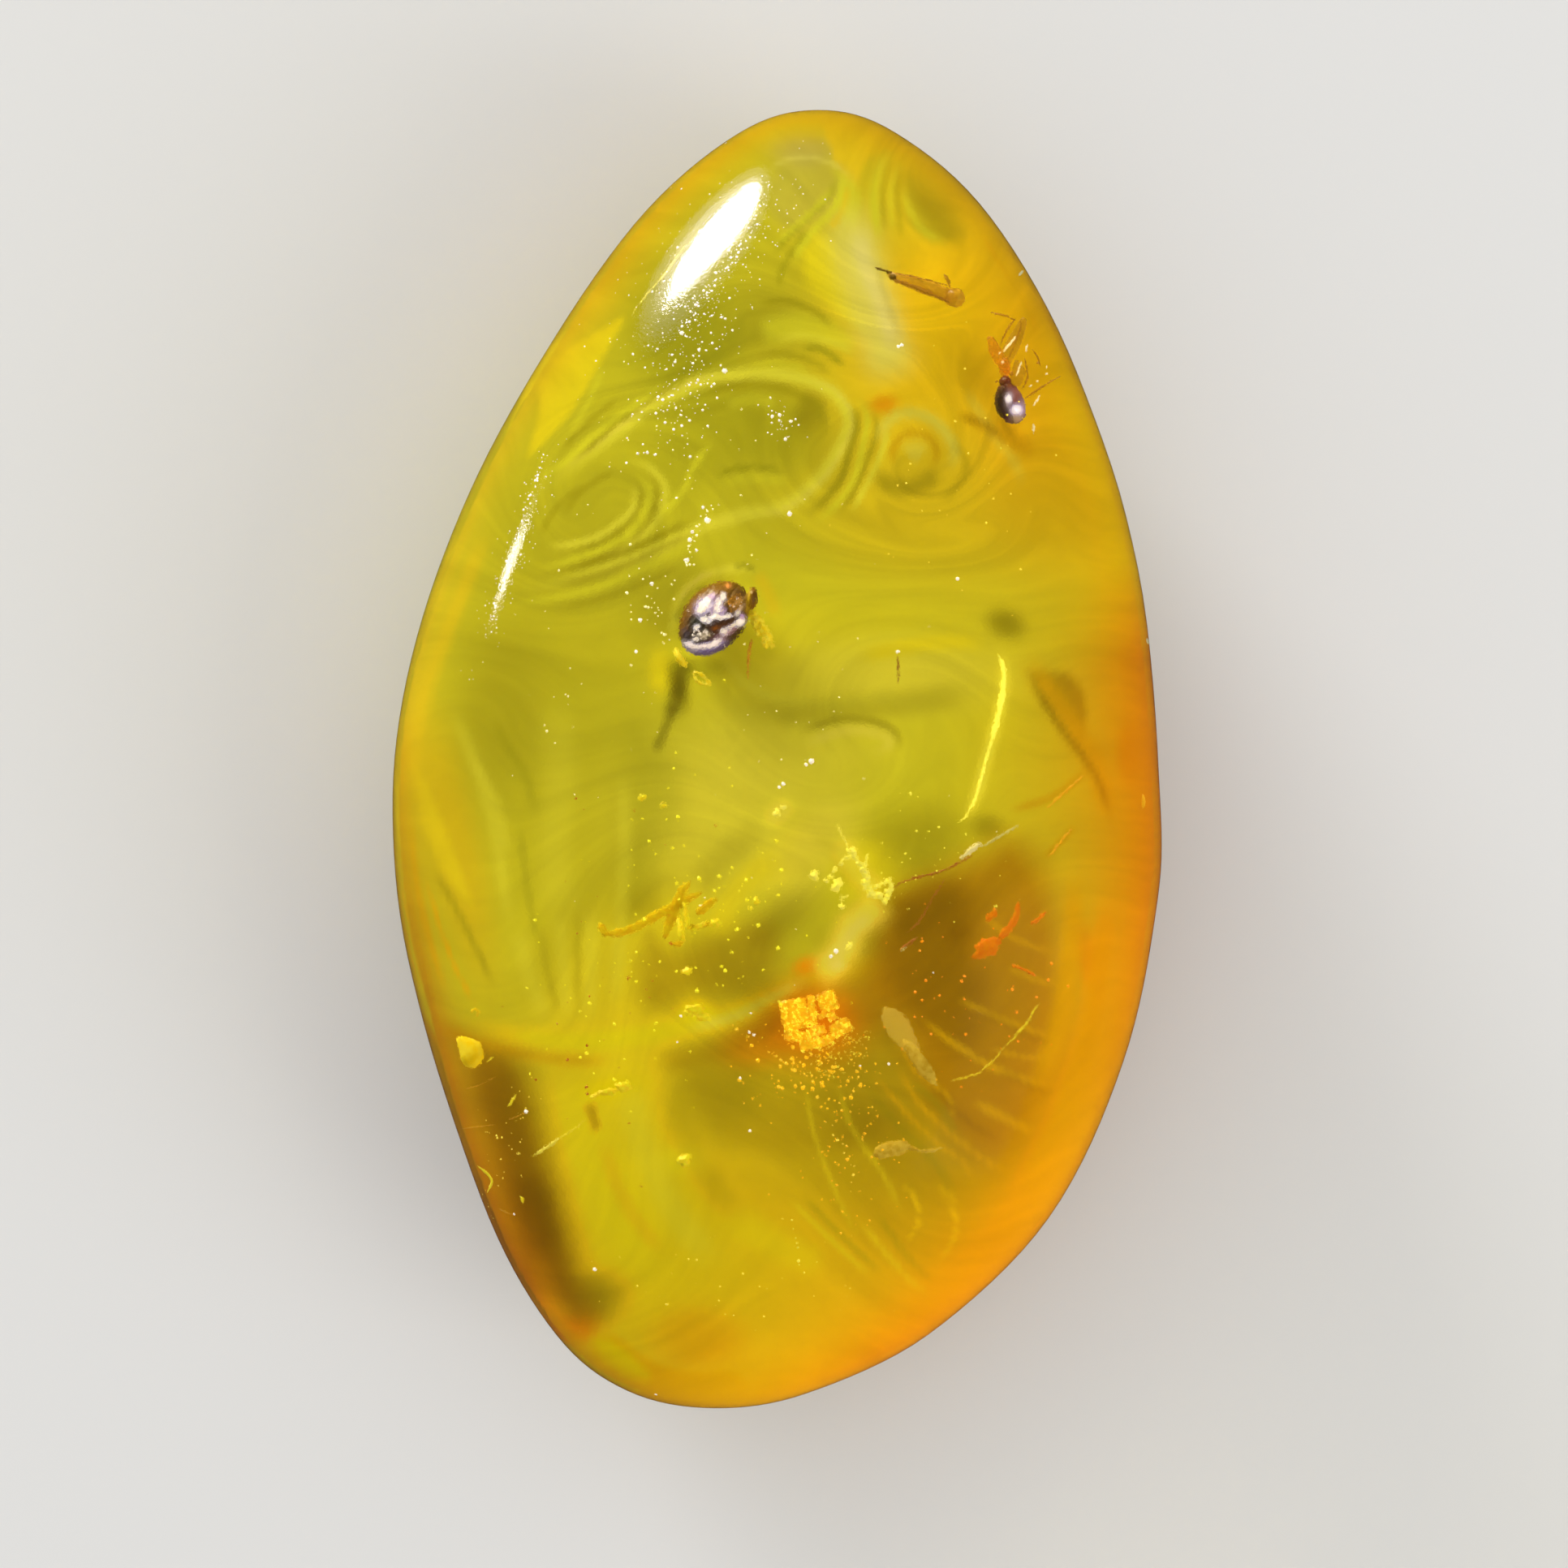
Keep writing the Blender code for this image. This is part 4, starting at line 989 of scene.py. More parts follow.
def add_strand(bm, points, radius, sides=8, flat=1.0, tail=0.25, head=0.25, waver=0.0):
    """Add a closed round strand along points of x, y and height; it thins at its two ends."""
    line = spread_curve(points, max(2.0, radius))
    rows = len(line)
    made = bmesh.ops.create_grid(bm, x_segments=rows - 1, y_segments=sides, size=1)["verts"]
    made.sort(key=lambda vertex: (round(vertex.co.x, 5), round(vertex.co.y, 5)))
    for i in range(rows):
        ahead = line[min(i + 1, rows - 1)] - line[max(i - 1, 0)]
        side = np.array((-ahead[1], ahead[0], 0.0)) / max(1e-6, math.hypot(ahead[0], ahead[1]))
        along = i / (rows - 1)
        swell = min(1.0, math.sqrt(min(along / max(tail, 1e-3), (1 - along) / max(head, 1e-3))))
        size = radius * swell * (1 + waver * noise.noise(Vector(line[i]) * 0.15))
        for j in range(sides + 1):
            turn = 2 * math.pi * j / sides
            ring = side * math.cos(turn) * size + np.array((0, 0, flat * math.sin(turn) * size))
            made[i * (sides + 1) + j].co = Vector(line[i] + ring)
    bmesh.ops.remove_doubles(bm, verts=made, dist=0.001)


MOTTLE_EDGES = (0.38, 0.62)     # where the mottling noise changes from one colour to the other


def solid_colour(name, colour, roughness, alpha=1.0, specular=0.5, mottle=None, shine=0.0):
    """A plain material, or one mottled with a second colour over a size in millimetres. Any
    emitted light is painted light, for what the thing catches or mirrors inside the resin."""
    material, output = new_material(name)
    tree = material.node_tree
    shader = add_node(tree, "ShaderNodeBsdfPrincipled", {
        "Base Color": colour, "Roughness": roughness, "Alpha": alpha, "Specular IOR Level": specular,
    })
    if shine:
        shader.inputs["Emission Color"].default_value = colour
        shader.inputs["Emission Strength"].default_value = shine
    if mottle:
        other, size = mottle
        where = add_node(tree, "ShaderNodeTexCoord").outputs["Object"]
        spots = add_node(tree, "ShaderNodeTexNoise", {
            "Vector": where, "Scale": 1 / (size * MM), "Detail": 2.0, "Roughness": 0.6,
        })
        ramp = add_node(tree, "ShaderNodeValToRGB", {"Fac": spots.outputs["Fac"]})
        for stop, edge, shade in zip(ramp.color_ramp.elements, MOTTLE_EDGES, (colour, other)):
            stop.position = edge
            stop.color = shade
        tree.links.new(ramp.outputs[0], shader.inputs["Base Color"])
    tree.links.new(shader.outputs[0], output.inputs["Surface"])
    return material


def sealed_colour(name, colour, place, roughness, mottle=None, **settings):
    """A material for a sealed thing, in the colours that it shows from outside at its pixel."""
    if mottle:
        mottle = (shown_as(mottle[0], *place), mottle[1])
    return solid_colour(name, shown_as(colour, *place), roughness, mottle=mottle, **settings)


# The round beetle: its middle pixel, half sizes in pixels and tilt in degrees.
BEETLE_CENTRE = (880, 762)
BEETLE_HALVES = (52, 37, 24)
BEETLE_TILT = 50
BACK_PITS = 0.07            # spacing of the pits on a beetle's back, in millimetres
PIT_DEPTH = 0.01            # and their depth


def beetle_axes(x, y):
    """How far a pixel lies along and across the round beetle from its middle."""
    turn = math.radians(BEETLE_TILT)
    dx, dy = x - BEETLE_CENTRE[0], y - BEETLE_CENTRE[1]
    return dx * math.cos(turn) - dy * math.sin(turn), dx * math.sin(turn) + dy * math.cos(turn)


def beetle_height(x, y):
    """The height of the round beetle's back over a pixel."""
    along, across = (v / half for v, half in zip(beetle_axes(x, y), BEETLE_HALVES))
    return BEETLE_HALVES[2] * math.sqrt(max(0.02, 1 - along ** 2 - across ** 2))


def chitin(name, roughness):
    """Insect chitin: hard, glossy and brown to nearly black, under a film of air that mirrors
    the light. The paint holds its colours with painted highlights, and in its alpha how far the
    film covers it, which sets how strongly it emits the film's colour as painted light."""
    material, output = new_material(name)
    tree = material.node_tree
    paint = add_node(tree, "ShaderNodeAttribute", attribute_name="paint")
    where = add_node(tree, "ShaderNodeTexCoord").outputs["Object"]
    # The pits of so small a beetle lie about 0.03 mm apart. They are drawn coarser to show.
    pits = add_node(tree, "ShaderNodeTexVoronoi", {"Vector": where, "Scale": 1 / (BACK_PITS * MM)})
    dents = add_node(tree, "ShaderNodeBump", {
        "Height": pits.outputs["Distance"], "Strength": 0.5, "Distance": PIT_DEPTH * MM,
    })
    shader = add_node(tree, "ShaderNodeBsdfPrincipled", {
        "Base Color": paint.outputs["Color"], "Roughness": roughness, "Normal": dents.outputs[0],
        "Emission Color": (*bpy.context.scene.sealed_look.film, 1.0),
        "Emission Strength": paint.outputs["Alpha"],
    })
    tree.links.new(shader.outputs[0], output.inputs["Surface"])
    return material


def finish_painted(name, bm, roughness, place, base, tones):
    """Finish an insect's back in its colours and painted highlights: a base, then soft tones, each
    with its pixel, half sizes, tilt, colour, strength and how much of the film of air it carries,
    which is emitted as painted light."""
    pixels = np.array([(vertex.co.x, vertex.co.y) for vertex in bm.verts])
    colours = np.tile(linear(base)[:3], (len(pixels), 1))
    film = np.zeros((len(pixels), 1))
    for centre, halves, tilt, colour, strength, painted_glow_share in tones:
        share = strength * soft_patch(pixels, centre, halves, tilt)
        colours = colours * (1 - share) + np.array(linear(colour)[:3]) * share
        film = film * (1 - share) + painted_glow_share * share
    colours = through_amber(colours, np.full(len(pixels), amber_above(*place)))
    piece = finish_piece(name, seal(bm), chitin(f"{name}_chitin", roughness))
    paint = np.column_stack([colours, film])
    piece.data.attributes.new("paint", "FLOAT_COLOR", "POINT").data.foreach_set("color", paint.ravel())
    return piece


# The colours of the round beetle's back, with its highlights painted in as white and lilac spots:
# pixel, half sizes in pixels, tilt in degrees, colour, strength, and how much light the film of air
# mirrors there, which is emitted as painted light.
BEETLE_TONES = (
    ((880, 728), (44, 13), 22, "#7A520C", 1.0, 0.0),
    ((846, 760), (9, 34), -25, "#6A440C", 1.0, 0.0),
    ((897, 722), (3.2, 2.8), 0, "#E08A10", 1.0, 0.1),
    ((928, 738), (10, 20), -10, "#7C520A", 1.0, 0.0),
    ((922, 738), (2.6, 15), -4, "#C8A81C", 0.8, 0.0),
    ((931, 734), (3.4, 9), -10, "#583604", 0.9, 0.0),
    ((905, 742), (14, 10), -35, "#86601C", 0.9, 0.0),
    ((884, 778), (22, 7), 22, "#5C3010", 0.9, 0.0),
    ((881, 774), (3.4, 2.2), 10, "#B06008", 0.9, 0.0),
    ((858, 768), (10, 9), -20, "#34342A", 1.0, 0.0),
    ((861, 783), (17, 9), 8, "#3E3A34", 0.9, 0.0),
    ((868, 746), (11, 7.5), 42, "#D4C4EC", 1.0, 0.32),
    ((869, 742), (7, 3.6), 40, "#FFFFFF", 0.9, 0.65),
    ((864, 752), (6, 3), 20, "#F4ECFF", 0.8, 0.45),
    ((877, 735), (5, 4), 40, "#B890C0", 0.7, 0.1),
    ((882, 748), (2.2, 10), -14, "#F0E4FF", 0.9, 0.45),
    ((886.5, 746), (1.8, 11), -12, "#FFF8FF", 0.9, 0.55),
    ((878, 752), (1.6, 8), -20, "#C8A8D0", 0.8, 0.2),
    ((891.5, 735.5), (2.6, 4.2), -8, "#FFFFFF", 1.0, 0.6),
    ((889, 742), (1.6, 4), 10, "#D8C8E8", 0.8, 0.3),
    ((869, 764), (6.5, 3.0), -24, "#FFFFFF", 1.0, 0.6),
    ((879, 760), (4.4, 3.0), 20, "#FFFFFF", 1.0, 0.55),
    ((888, 760.5), (5, 2.4), 8, "#F8F4FF", 1.0, 0.5),
    ((897, 759), (4, 2.6), 12, "#F4ECFF", 1.0, 0.5),
    ((890, 753), (3.4, 5), -24, "#C8A8D8", 0.8, 0.25),
    ((909, 755), (2.6, 3.8), -30, "#F8F0F0", 0.9, 0.4),
    ((913, 749), (1.6, 5), -40, "#E8C890", 0.7, 0.1),
    ((908, 742), (1.2, 7), -42, "#D8B050", 0.7, 0.05),
    ((914, 740), (1.2, 8), -44, "#D8B050", 0.6, 0.05),
    ((903, 771), (7, 2.0), 24, "#E8DCFF", 1.0, 0.3),
    ((912.5, 766), (5.4, 3.8), 38, "#FFFFFF", 1.0, 0.7),
    ((914.5, 760), (2.4, 3), 0, "#B080F0", 0.9, 0.25),
    ((892.5, 778.5), (4.4, 3.8), 20, "#FFFFFF", 1.0, 0.6),
    ((900, 778), (8, 2.6), 30, "#C090A8", 0.6, 0.05),
    ((886, 789), (9, 6), 35, "#B088A0", 0.6, 0.1),
    ((858.5, 773), (3.8, 2.8), 18, "#FFFFFF", 1.0, 0.6),
    ((857, 787.5), (3.2, 2.0), 10, "#F8F4E8", 1.0, 0.45),
    ((868, 783), (6, 3.6), 20, "#C8B888", 0.8, 0.1),
    ((862, 781), (2.2, 1.6), 0, "#E8DCB8", 0.9, 0.2),
    ((870, 778), (2.0, 1.6), 0, "#E8DCB8", 0.9, 0.2),
    ((874, 783), (1.8, 1.8), 0, "#D8C890", 0.9, 0.15),
    ((862, 803), (28, 8), 8, "#584494", 1.0, 0.03),
    ((868, 797), (20, 3.8), 13, "#A49CF0", 0.9, 0.22),
    ((849, 793.5), (6.5, 3.4), -18, "#FFFFFF", 1.0, 0.8),
    ((866, 796), (11, 2.0), 4, "#FFFFFF", 1.0, 0.75),
    ((881, 792), (7.5, 2.6), 34, "#FFFFFF", 1.0, 0.75),
    ((845, 783), (4, 9), 10, "#403848", 0.7, 0.0),
)


class AMBER_OT_round_beetle(bpy.types.Operator):
    """Make the round beetle with its film of air, its legs and the bits torn from it"""

    bl_idname = "amber.round_beetle"
    bl_label = "Round beetle"

    def execute(self, context):
        place = BEETLE_CENTRE
        bm = bmesh.new()
        back = add_blob(bm, (*place, 0), BEETLE_HALVES, tilt=BEETLE_TILT, detail=6)
        for vertex in back:
            along, across = beetle_axes(vertex.co.x, vertex.co.y)
            groove = 0.35 * math.cos(across * 1.1)
            rough = 0.5 * noise.noise(Vector((along, across * 2.2, 0)) * 0.22)
            seam = 1.6 * math.exp(-((across + 4) / 1.4) ** 2)
            if vertex.co.z > 0:
                vertex.co.z += groove + rough - seam
        add_blob(bm, (926, 738, 2), (15, 7.5, 8), tilt=80, detail=3)
        piece = finish_painted("round_beetle_body", bm, 0.3, place, "#3C2418", BEETLE_TONES)
        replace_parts(piece, "round_beetle")

        chance = random.Random(5)
        bm = bmesh.new()
        for x, y, half_width, half_height, count in (
            (882, 760, 20, 3, 26), (868, 748, 11, 8, 16), (864, 782, 12, 6, 30), (865, 796, 22, 2.4, 12),
            (903, 772, 12, 4, 10), (886, 746, 5, 12, 14), (906, 745, 8, 9, 10),
        ):
            for _ in range(count):
                spot = (x + chance.gauss(0, 0.5) * half_width, y + chance.gauss(0, 0.5) * half_height)
                size = chance.uniform(0.4, 1.1)
                add_blob(bm, (*spot, beetle_height(*spot) + 0.3), (size, size, 0.5 * size), detail=1)
        # Air that clung to the insect as the resin set: a smooth thin film, which mirrors the light as
        # silvery spots, painted here as small glowing dots.
        shine = solid_colour(
            "painted_silvery_glints", (0.95, 0.9, 1.0, 1.0), roughness=0.25, specular=1.0, shine=0.5,
        )
        film = finish_piece("round_beetle_painted_glints", seal(bm), shine)
        film.visible_shadow = False

        bm = bmesh.new()
        leg = ((927, 786, 0), (924, 798, 2), (922, 812, 3), (921.6, 838, 0))
        add_strand(bm, leg, 1.3, tail=0.1, head=0.5)
        for i in range(40):
            x, y = 897 + 3.0 * (i % 6) + 0.6 * (i // 6), 736 + 2.8 * (i // 6) - 0.7 * (i % 6)
            add_blob(bm, (x, y, beetle_height(x, y) + 0.3), (0.9, 1.0, 0.7), detail=1)
        # Thin chitin, grown smooth and cleared by the resin: glossy golden brown, with a faint painted
        # glow.
        leg = sealed_colour("beetle_leg_chitin", "#C88818", place, 0.4, shine=0.1)
        finish_piece("round_beetle_leg", seal(bm), leg)

        bm = bmesh.new()
        add_strand(bm, ((832, 797, 0), (836, 808, 2), (846, 823, 0)), 4.2, tail=0.2, head=0.2, waver=0.4)
        add_strand(bm, (
            (853, 828, 0), (860, 829, 1), (868, 834, 1), (874, 842, 1), (868, 843, 1), (859, 839, 1),
            (853, 829, 0),
        ), 1.9, tail=0.02, head=0.02, waver=0.5)
        for x, y, long, wide, tilt in (
            (928, 757, 6, 4, -60), (933, 765, 9, 5.5, -55), (940, 776, 10, 6, -45),
            (946, 787, 9, 4.5, -60), (951, 792, 5, 2, -50), (934, 778, 6, 3.5, -80),
            (942, 792, 6, 3, -75), (938, 770, 4, 6, 0), (930, 770, 3, 6, 10),
        ):
            add_blob(bm, (x, y, 0), (long, wide, 4), tilt=tilt, lumps=0.9, grain=0.3)
        # Crumbs of skin and older resin, torn as the beetle struggled: their broken faces catch
        # the light and look golden, which a painted glow adds to.
        bits = sealed_colour(
            "torn_golden_bits", "#FCC40C", place, 0.35, mottle=("#FFE040", 0.06), shine=0.15,
        )
        finish_piece("round_beetle_bits", seal(bm), bits)
        return {"FINISHED"}


# The colours of the small beetle's back, with its highlights painted in, listed as the round beetle's are.
SMALL_BEETLE_TONES = (
    ((1240, 472), (12, 9), 30, "#7A3A1C", 1.0, 0.0),
    ((1253, 486), (8, 15), -25, "#94584C", 1.0, 0.0),
    ((1258, 503), (6, 11), -20, "#A88490", 0.9, 0.05),
    ((1233, 492), (7, 18), -12, "#241216", 1.0, 0.0),
    ((1240, 506), (8, 10), -20, "#2C2024", 0.9, 0.0),
    ((1243, 492), (5, 9), -8, "#B09CA8", 0.8, 0.05),
    ((1243, 491), (3.0, 4.6), -8, "#FFFFFF", 1.0, 0.6),
    ((1252, 506), (7.5, 7), 0, "#C8B4E0", 0.9, 0.25),
    ((1252.5, 505), (4.6, 4.8), 0, "#FFFFFF", 1.0, 0.75),
    ((1252, 516), (8, 4.6), 14, "#B89C70", 0.9, 0.05),
    ((1242, 519), (8, 4), -20, "#5C3448", 0.8, 0.0),
    ((1238, 463), (5, 4), 0, "#6A3010", 0.8, 0.0),
)

SMALL_BEETLE_CENTRE = (1245, 495)


class AMBER_OT_small_beetle(bpy.types.Operator):
    """Make the small beetle with its spread wing cases and legs"""

    bl_idname = "amber.small_beetle"
    bl_label = "Small beetle"

    def execute(self, context):
        place = SMALL_BEETLE_CENTRE
        bm = bmesh.new()
        for vertex in add_blob(bm, (1244, 496, 0), (27, 18, 14), tilt=-72, detail=5):
            lean = (vertex.co.y - place[1]) / 27
            vertex.co.x += (vertex.co.x - 1244) * 0.16 * lean
        add_blob(bm, (1238.5, 471, 1), (8, 8, 7), tilt=-68, detail=3)
        piece = finish_painted("small_beetle_body", bm, 0.25, place, "#4A1E1A", SMALL_BEETLE_TONES)
        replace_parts(piece, "small_beetle")

        bm = bmesh.new()
        for ends in (
            ((1259, 444, 4), (1256, 454, 3), (1252, 464, 4)), ((1282, 486, 2), (1278, 493, 3),
            (1273, 501, 3)), ((1268, 477, 2), (1272, 474, 3)), ((1277, 471, 2), (1280, 469, 3)),
            ((1288, 462, 2), (1291, 459, 3)), ((1273, 522, 0), (1274, 528, 1), (1273, 535, 0)),
            ((1290, 450, 1), (1289, 455, 1)), ((1230, 436, 6), (1233, 433, 6)),
            ((1240, 430, 6), (1248, 420, 6), (1252, 414, 6)), ((1235, 449, 6), (1236, 444, 6)),
            ((1237, 434, 6), (1244, 424, 6)), ((1266, 424, 2), (1264, 434, 2)),
        ):
            add_strand(bm, ends, 1.2, flat=0.6, waver=0.5)
        # Air caught along the legs and the wings' edges as the resin set: fine pale glints, painted as a
        # glow.
        glint = solid_colour("painted_pale_glints", linear("#FFF0C0"), roughness=0.3, shine=0.35)
        finish_piece("small_beetle_glints", seal(bm), glint).visible_shadow = False

        bm = bmesh.new()
        add_blob(bm, (1229, 437, 3), (25, 7.5, 2.5), tilt=-64, detail=3, lumps=0.3, grain=0.06)
        add_strand(bm, ((1238, 466, 2), (1238, 452, 4), (1241, 438, 4)), 6.0, flat=0.4)
        # Wing cases of hard chitin, grown smooth and cleared by the resin: a half clear orange.
        wing = sealed_colour(
            "wing_case_chitin", "#E89410", place, 0.35, alpha=0.42, mottle=("#D88408", 0.12),
        )
        finish_piece("small_beetle_wings", seal(bm), wing).visible_shadow = False

        bm = bmesh.new()
        add_blob(bm, (1247, 425, 4), (36, 8.5, 2.0), tilt=64, detail=3, lumps=0.25, grain=0.06)
        add_blob(bm, (1254, 462, 0), (9, 14, 2.0), tilt=10, detail=3, lumps=0.5, grain=0.1)
        # Flight wings, skins of chitin grown far thinner than paper: a faint smoky veil.
        wing = sealed_colour(
            "thin_wing_chitin", "#BC8C10", place, 0.35, alpha=0.38, mottle=("#C89410", 0.12),
        )
        finish_piece("small_beetle_flight_wing", seal(bm), wing).visible_shadow = False

        bm = bmesh.new()
        for ends in (
            ((1262, 492, 0), (1285, 476, 2), (1308, 463, 1)),
            ((1256, 394, 2), (1258, 402, 3), (1250, 424, 3), (1241, 446, 2)),
            ((1251, 392, 2), (1240, 408, 3), (1232, 426, 2)),
            ((1260, 480, 0), (1266, 462, 2), (1262, 440, 1)),
            ((1220, 385, 1), (1238, 389, 2), (1252, 395, 2)),
            ((1272, 430, 1), (1280, 444, 2), (1282, 452, 1)),
        ):
            add_strand(bm, ends, 1.4, head=0.5)
        for x, y, size in ((1246.5, 460, 3.4), (1279, 447, 2.2), (1228, 470, 1.6)):
            add_blob(bm, (x, y, 3), (size, size, size), detail=2)
        # Legs and feelers of thin smooth chitin, cleared by the resin: half clear brown threads.
        leg = sealed_colour("small_beetle_legs", "#B87C0C", place, 0.4, alpha=0.45)
        finish_piece("small_beetle_legs", seal(bm), leg)
        return {"FINISHED"}


class AMBER_OT_slender_insect(bpy.types.Operator):
    """Make the slender insect near the top"""

    bl_idname = "amber.slender_insect"
    bl_label = "Slender insect"

    def execute(self, context):
        place = (1140, 350)
        bm = bmesh.new()
        add_strand(bm, (
            (1092, 337, 0), (1105, 342, 1), (1130, 350, 2), (1158, 360, 2), (1180, 369, 2),
        ), 9.0, sides=14, flat=0.8, tail=0.45, head=0.1)
        add_blob(bm, (1176, 367, 2), (13.5, 12.0, 10), tilt=-20, detail=4)
        # A soft body wall of thin chitin, cleared by the resin: smooth, glassy and golden brown.
        body = sealed_colour(
            "thin_brown_chitin", "#D8A01C", place, 0.3, alpha=0.52, mottle=("#C08A14", 0.10),
        )
        piece = finish_piece("slender_insect_body", seal(bm), body)
        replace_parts(piece, "slender_insect")

        bm = bmesh.new()
        add_strand(bm, ((1100, 344, 7), (1130, 355, 9), (1160, 368, 10), (1172, 374, 9)), 2.6, head=0.4)
        add_strand(bm, ((1103, 336, 7), (1135, 343, 9), (1168, 352, 10)), 1.0)
        add_strand(bm, ((1172, 355, 8), (1168, 346, 9), (1165, 341, 8), (1163, 337, 7)), 1.8)
        # The thicker chitin of wing veins, grown as smooth ribs: darker brown lines.
        vein = sealed_colour("slender_insect_vein", "#A87010", place, 0.4, alpha=0.5)
        finish_piece("slender_insect_veins", seal(bm), vein)

        bm = bmesh.new()
        add_blob(bm, (1100, 341, 4), (4.4, 3.4, 3), tilt=-15, detail=3, lumps=0.4)
        add_strand(bm, ((1077, 329, 0), (1088, 333, 1), (1101, 338, 2)), 1.6, tail=0.8)
        # The head, of thick chitin that the resin didn't clear: finely rough, dull and dark.
        tip = sealed_colour("dark_insect_tip", "#6A5010", place, 0.6, specular=0.1, alpha=0.9)
        finish_piece("slender_insect_tip", seal(bm), tip)
        return {"FINISHED"}


class AMBER_OT_grains(bpy.types.Operator):
    """Make the golden drop, the red flake, the pale splinters and the torn leg strands"""

    bl_idname = "amber.grains"
    bl_label = "Drop, flake, splinters and strands"

    def execute(self, context):
        bm = bmesh.new()
        middle = Vector((581, 1298, 0))
        tip_way = Vector((-0.66, -0.75, 0))
        for vertex in add_blob(bm, middle, (15, 18, 11), detail=4):
            toward = max(0.0, (vertex.co - middle).normalized().dot(tip_way))
            vertex.co += tip_way * 10 * toward ** 7
        add_strand(bm, ((580, 1248, 0), (585, 1243, 1), (590, 1247, 1), (586, 1253, 0)), 1.8)
        # A drop of older resin whose skin had dried before it was caught: dull and golden, with a faint
        # painted glow.
        gold = sealed_colour(
            "golden_resin_drop", "#F0C40C", (580, 1297), 0.6, specular=0.05, shine=0.08,
            mottle=("#F8CC28", 0.2),
        )
        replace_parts(finish_piece("golden_drop", seal(bm), gold), "resin_drop")

        bm = bmesh.new()
        add_blob(bm, (1216, 1168, 0), (19, 11, 5), tilt=28, detail=3, lumps=0.5, grain=0.16)
        add_strand(
            bm, ((1228, 1158, 1), (1244, 1144, 1), (1252, 1128, 0), (1256, 1110, 0)), 6.0,
            flat=0.3, head=0.9, waver=0.5,
        )
        add_strand(bm, ((1213, 1136, 0), (1222, 1128, 1), (1230, 1120, 0)), 3.4, flat=0.3, waver=0.5)
        add_strand(bm, ((1246, 1189, 0), (1262, 1195, 1), (1278, 1203, 0)), 2.2, waver=0.5)
        add_strand(bm, ((1270, 1139, 0), (1280, 1132, 0), (1289, 1123, 0)), 2.2, waver=0.5)
        # A flake of inner bark, torn off and soaked with resin: rough, and red-orange as light
        # comes through it, with a faint painted glow.
        red = sealed_colour(
            "red_bark_flake", "#F48A04", (1214, 1166), 0.6, alpha=0.62, specular=0.05,
            mottle=("#E87804", 0.15), shine=0.06,
        )
        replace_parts(finish_piece("red_flake", seal(bm), red), "bark_flake")

        # Splinters of plant fibre, split along the grain and soaked with resin: matt, pale and
        # half clear.
        pale = sealed_colour(
            "pale_plant_splinter", "#DCC044", (1126, 1290), 0.6, alpha=0.62, specular=0.05,
            mottle=("#C4A42C", 0.15),
        )
        bm = bmesh.new()
        add_strand(
            bm, ((1112, 1280, 1), (1124, 1296, 2), (1140, 1318, 2), (1155, 1339, 0)), 9.5,
            sides=12, flat=0.3, tail=0.5, head=0.35,
        )
        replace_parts(finish_piece("long_splinter", seal(bm), pale), "splinter_long")
        bm = bmesh.new()
        add_strand(
            bm, ((1088, 1240, 0), (1100, 1256, 0), (1116, 1280, 1), (1136, 1310, 1)), 17,
            sides=12, flat=0.2, tail=0.5, head=0.6,
        )
        # The same fibre where it frays into the resin: soft, matt and nearly clear, with a painted glow
        # that lightens the shade on it.
        faint = sealed_colour(
            "faint_plant_splinter", "#D8BC48", (1110, 1260), 0.7, alpha=0.26, specular=0.05,
            shine=0.15,
        )
        finish_piece("long_splinter_root", seal(bm), faint).visible_shadow = False
        bm = bmesh.new()
        add_strand(
            bm, ((1075, 1424, 0), (1090, 1418, 1), (1110, 1413, 1), (1124, 1414, 0)), 9,
            sides=12, flat=0.4, tail=0.12, head=0.3,
        )
        add_strand(bm, ((1116, 1414, 1), (1140, 1418, 1), (1164, 1414, 0)), 2, tail=0.1, head=0.5)
        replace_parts(finish_piece("short_splinter", seal(bm), pale), "splinter_short")

        bm = bmesh.new()
        for width, points in (
            (5.5, ((741, 1151), (764, 1149), (786, 1141), (822, 1121), (853, 1105), (866, 1100))),
            (4.5, ((738, 1136), (744, 1148), (750, 1154))),
            (6.0, ((818, 1158), (824, 1140), (832, 1118), (842, 1096), (852, 1084))),
            (5.0, ((858, 1128), (868, 1118), (884, 1107))),
            (3.4, ((826, 1163), (836, 1164), (840, 1158))),
            (3.0, ((846, 1143), (858, 1142), (872, 1138), (882, 1138))),
        ):
            add_strand(bm, [(x, y, 1) for x, y in points], width, flat=0.4, tail=0.2, head=0.2, waver=0.4)
        # Legs torn from an insect, empty skins of thin chitin: soft and dull golden threads.
        strand = sealed_colour(
            "torn_leg_strand", "#DEB008", (830, 1130), 0.7, alpha=0.55, specular=0.02,
            mottle=("#ECC810", 0.15),
        )
        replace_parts(finish_piece("leg_strands", seal(bm), strand), "leg_remains")

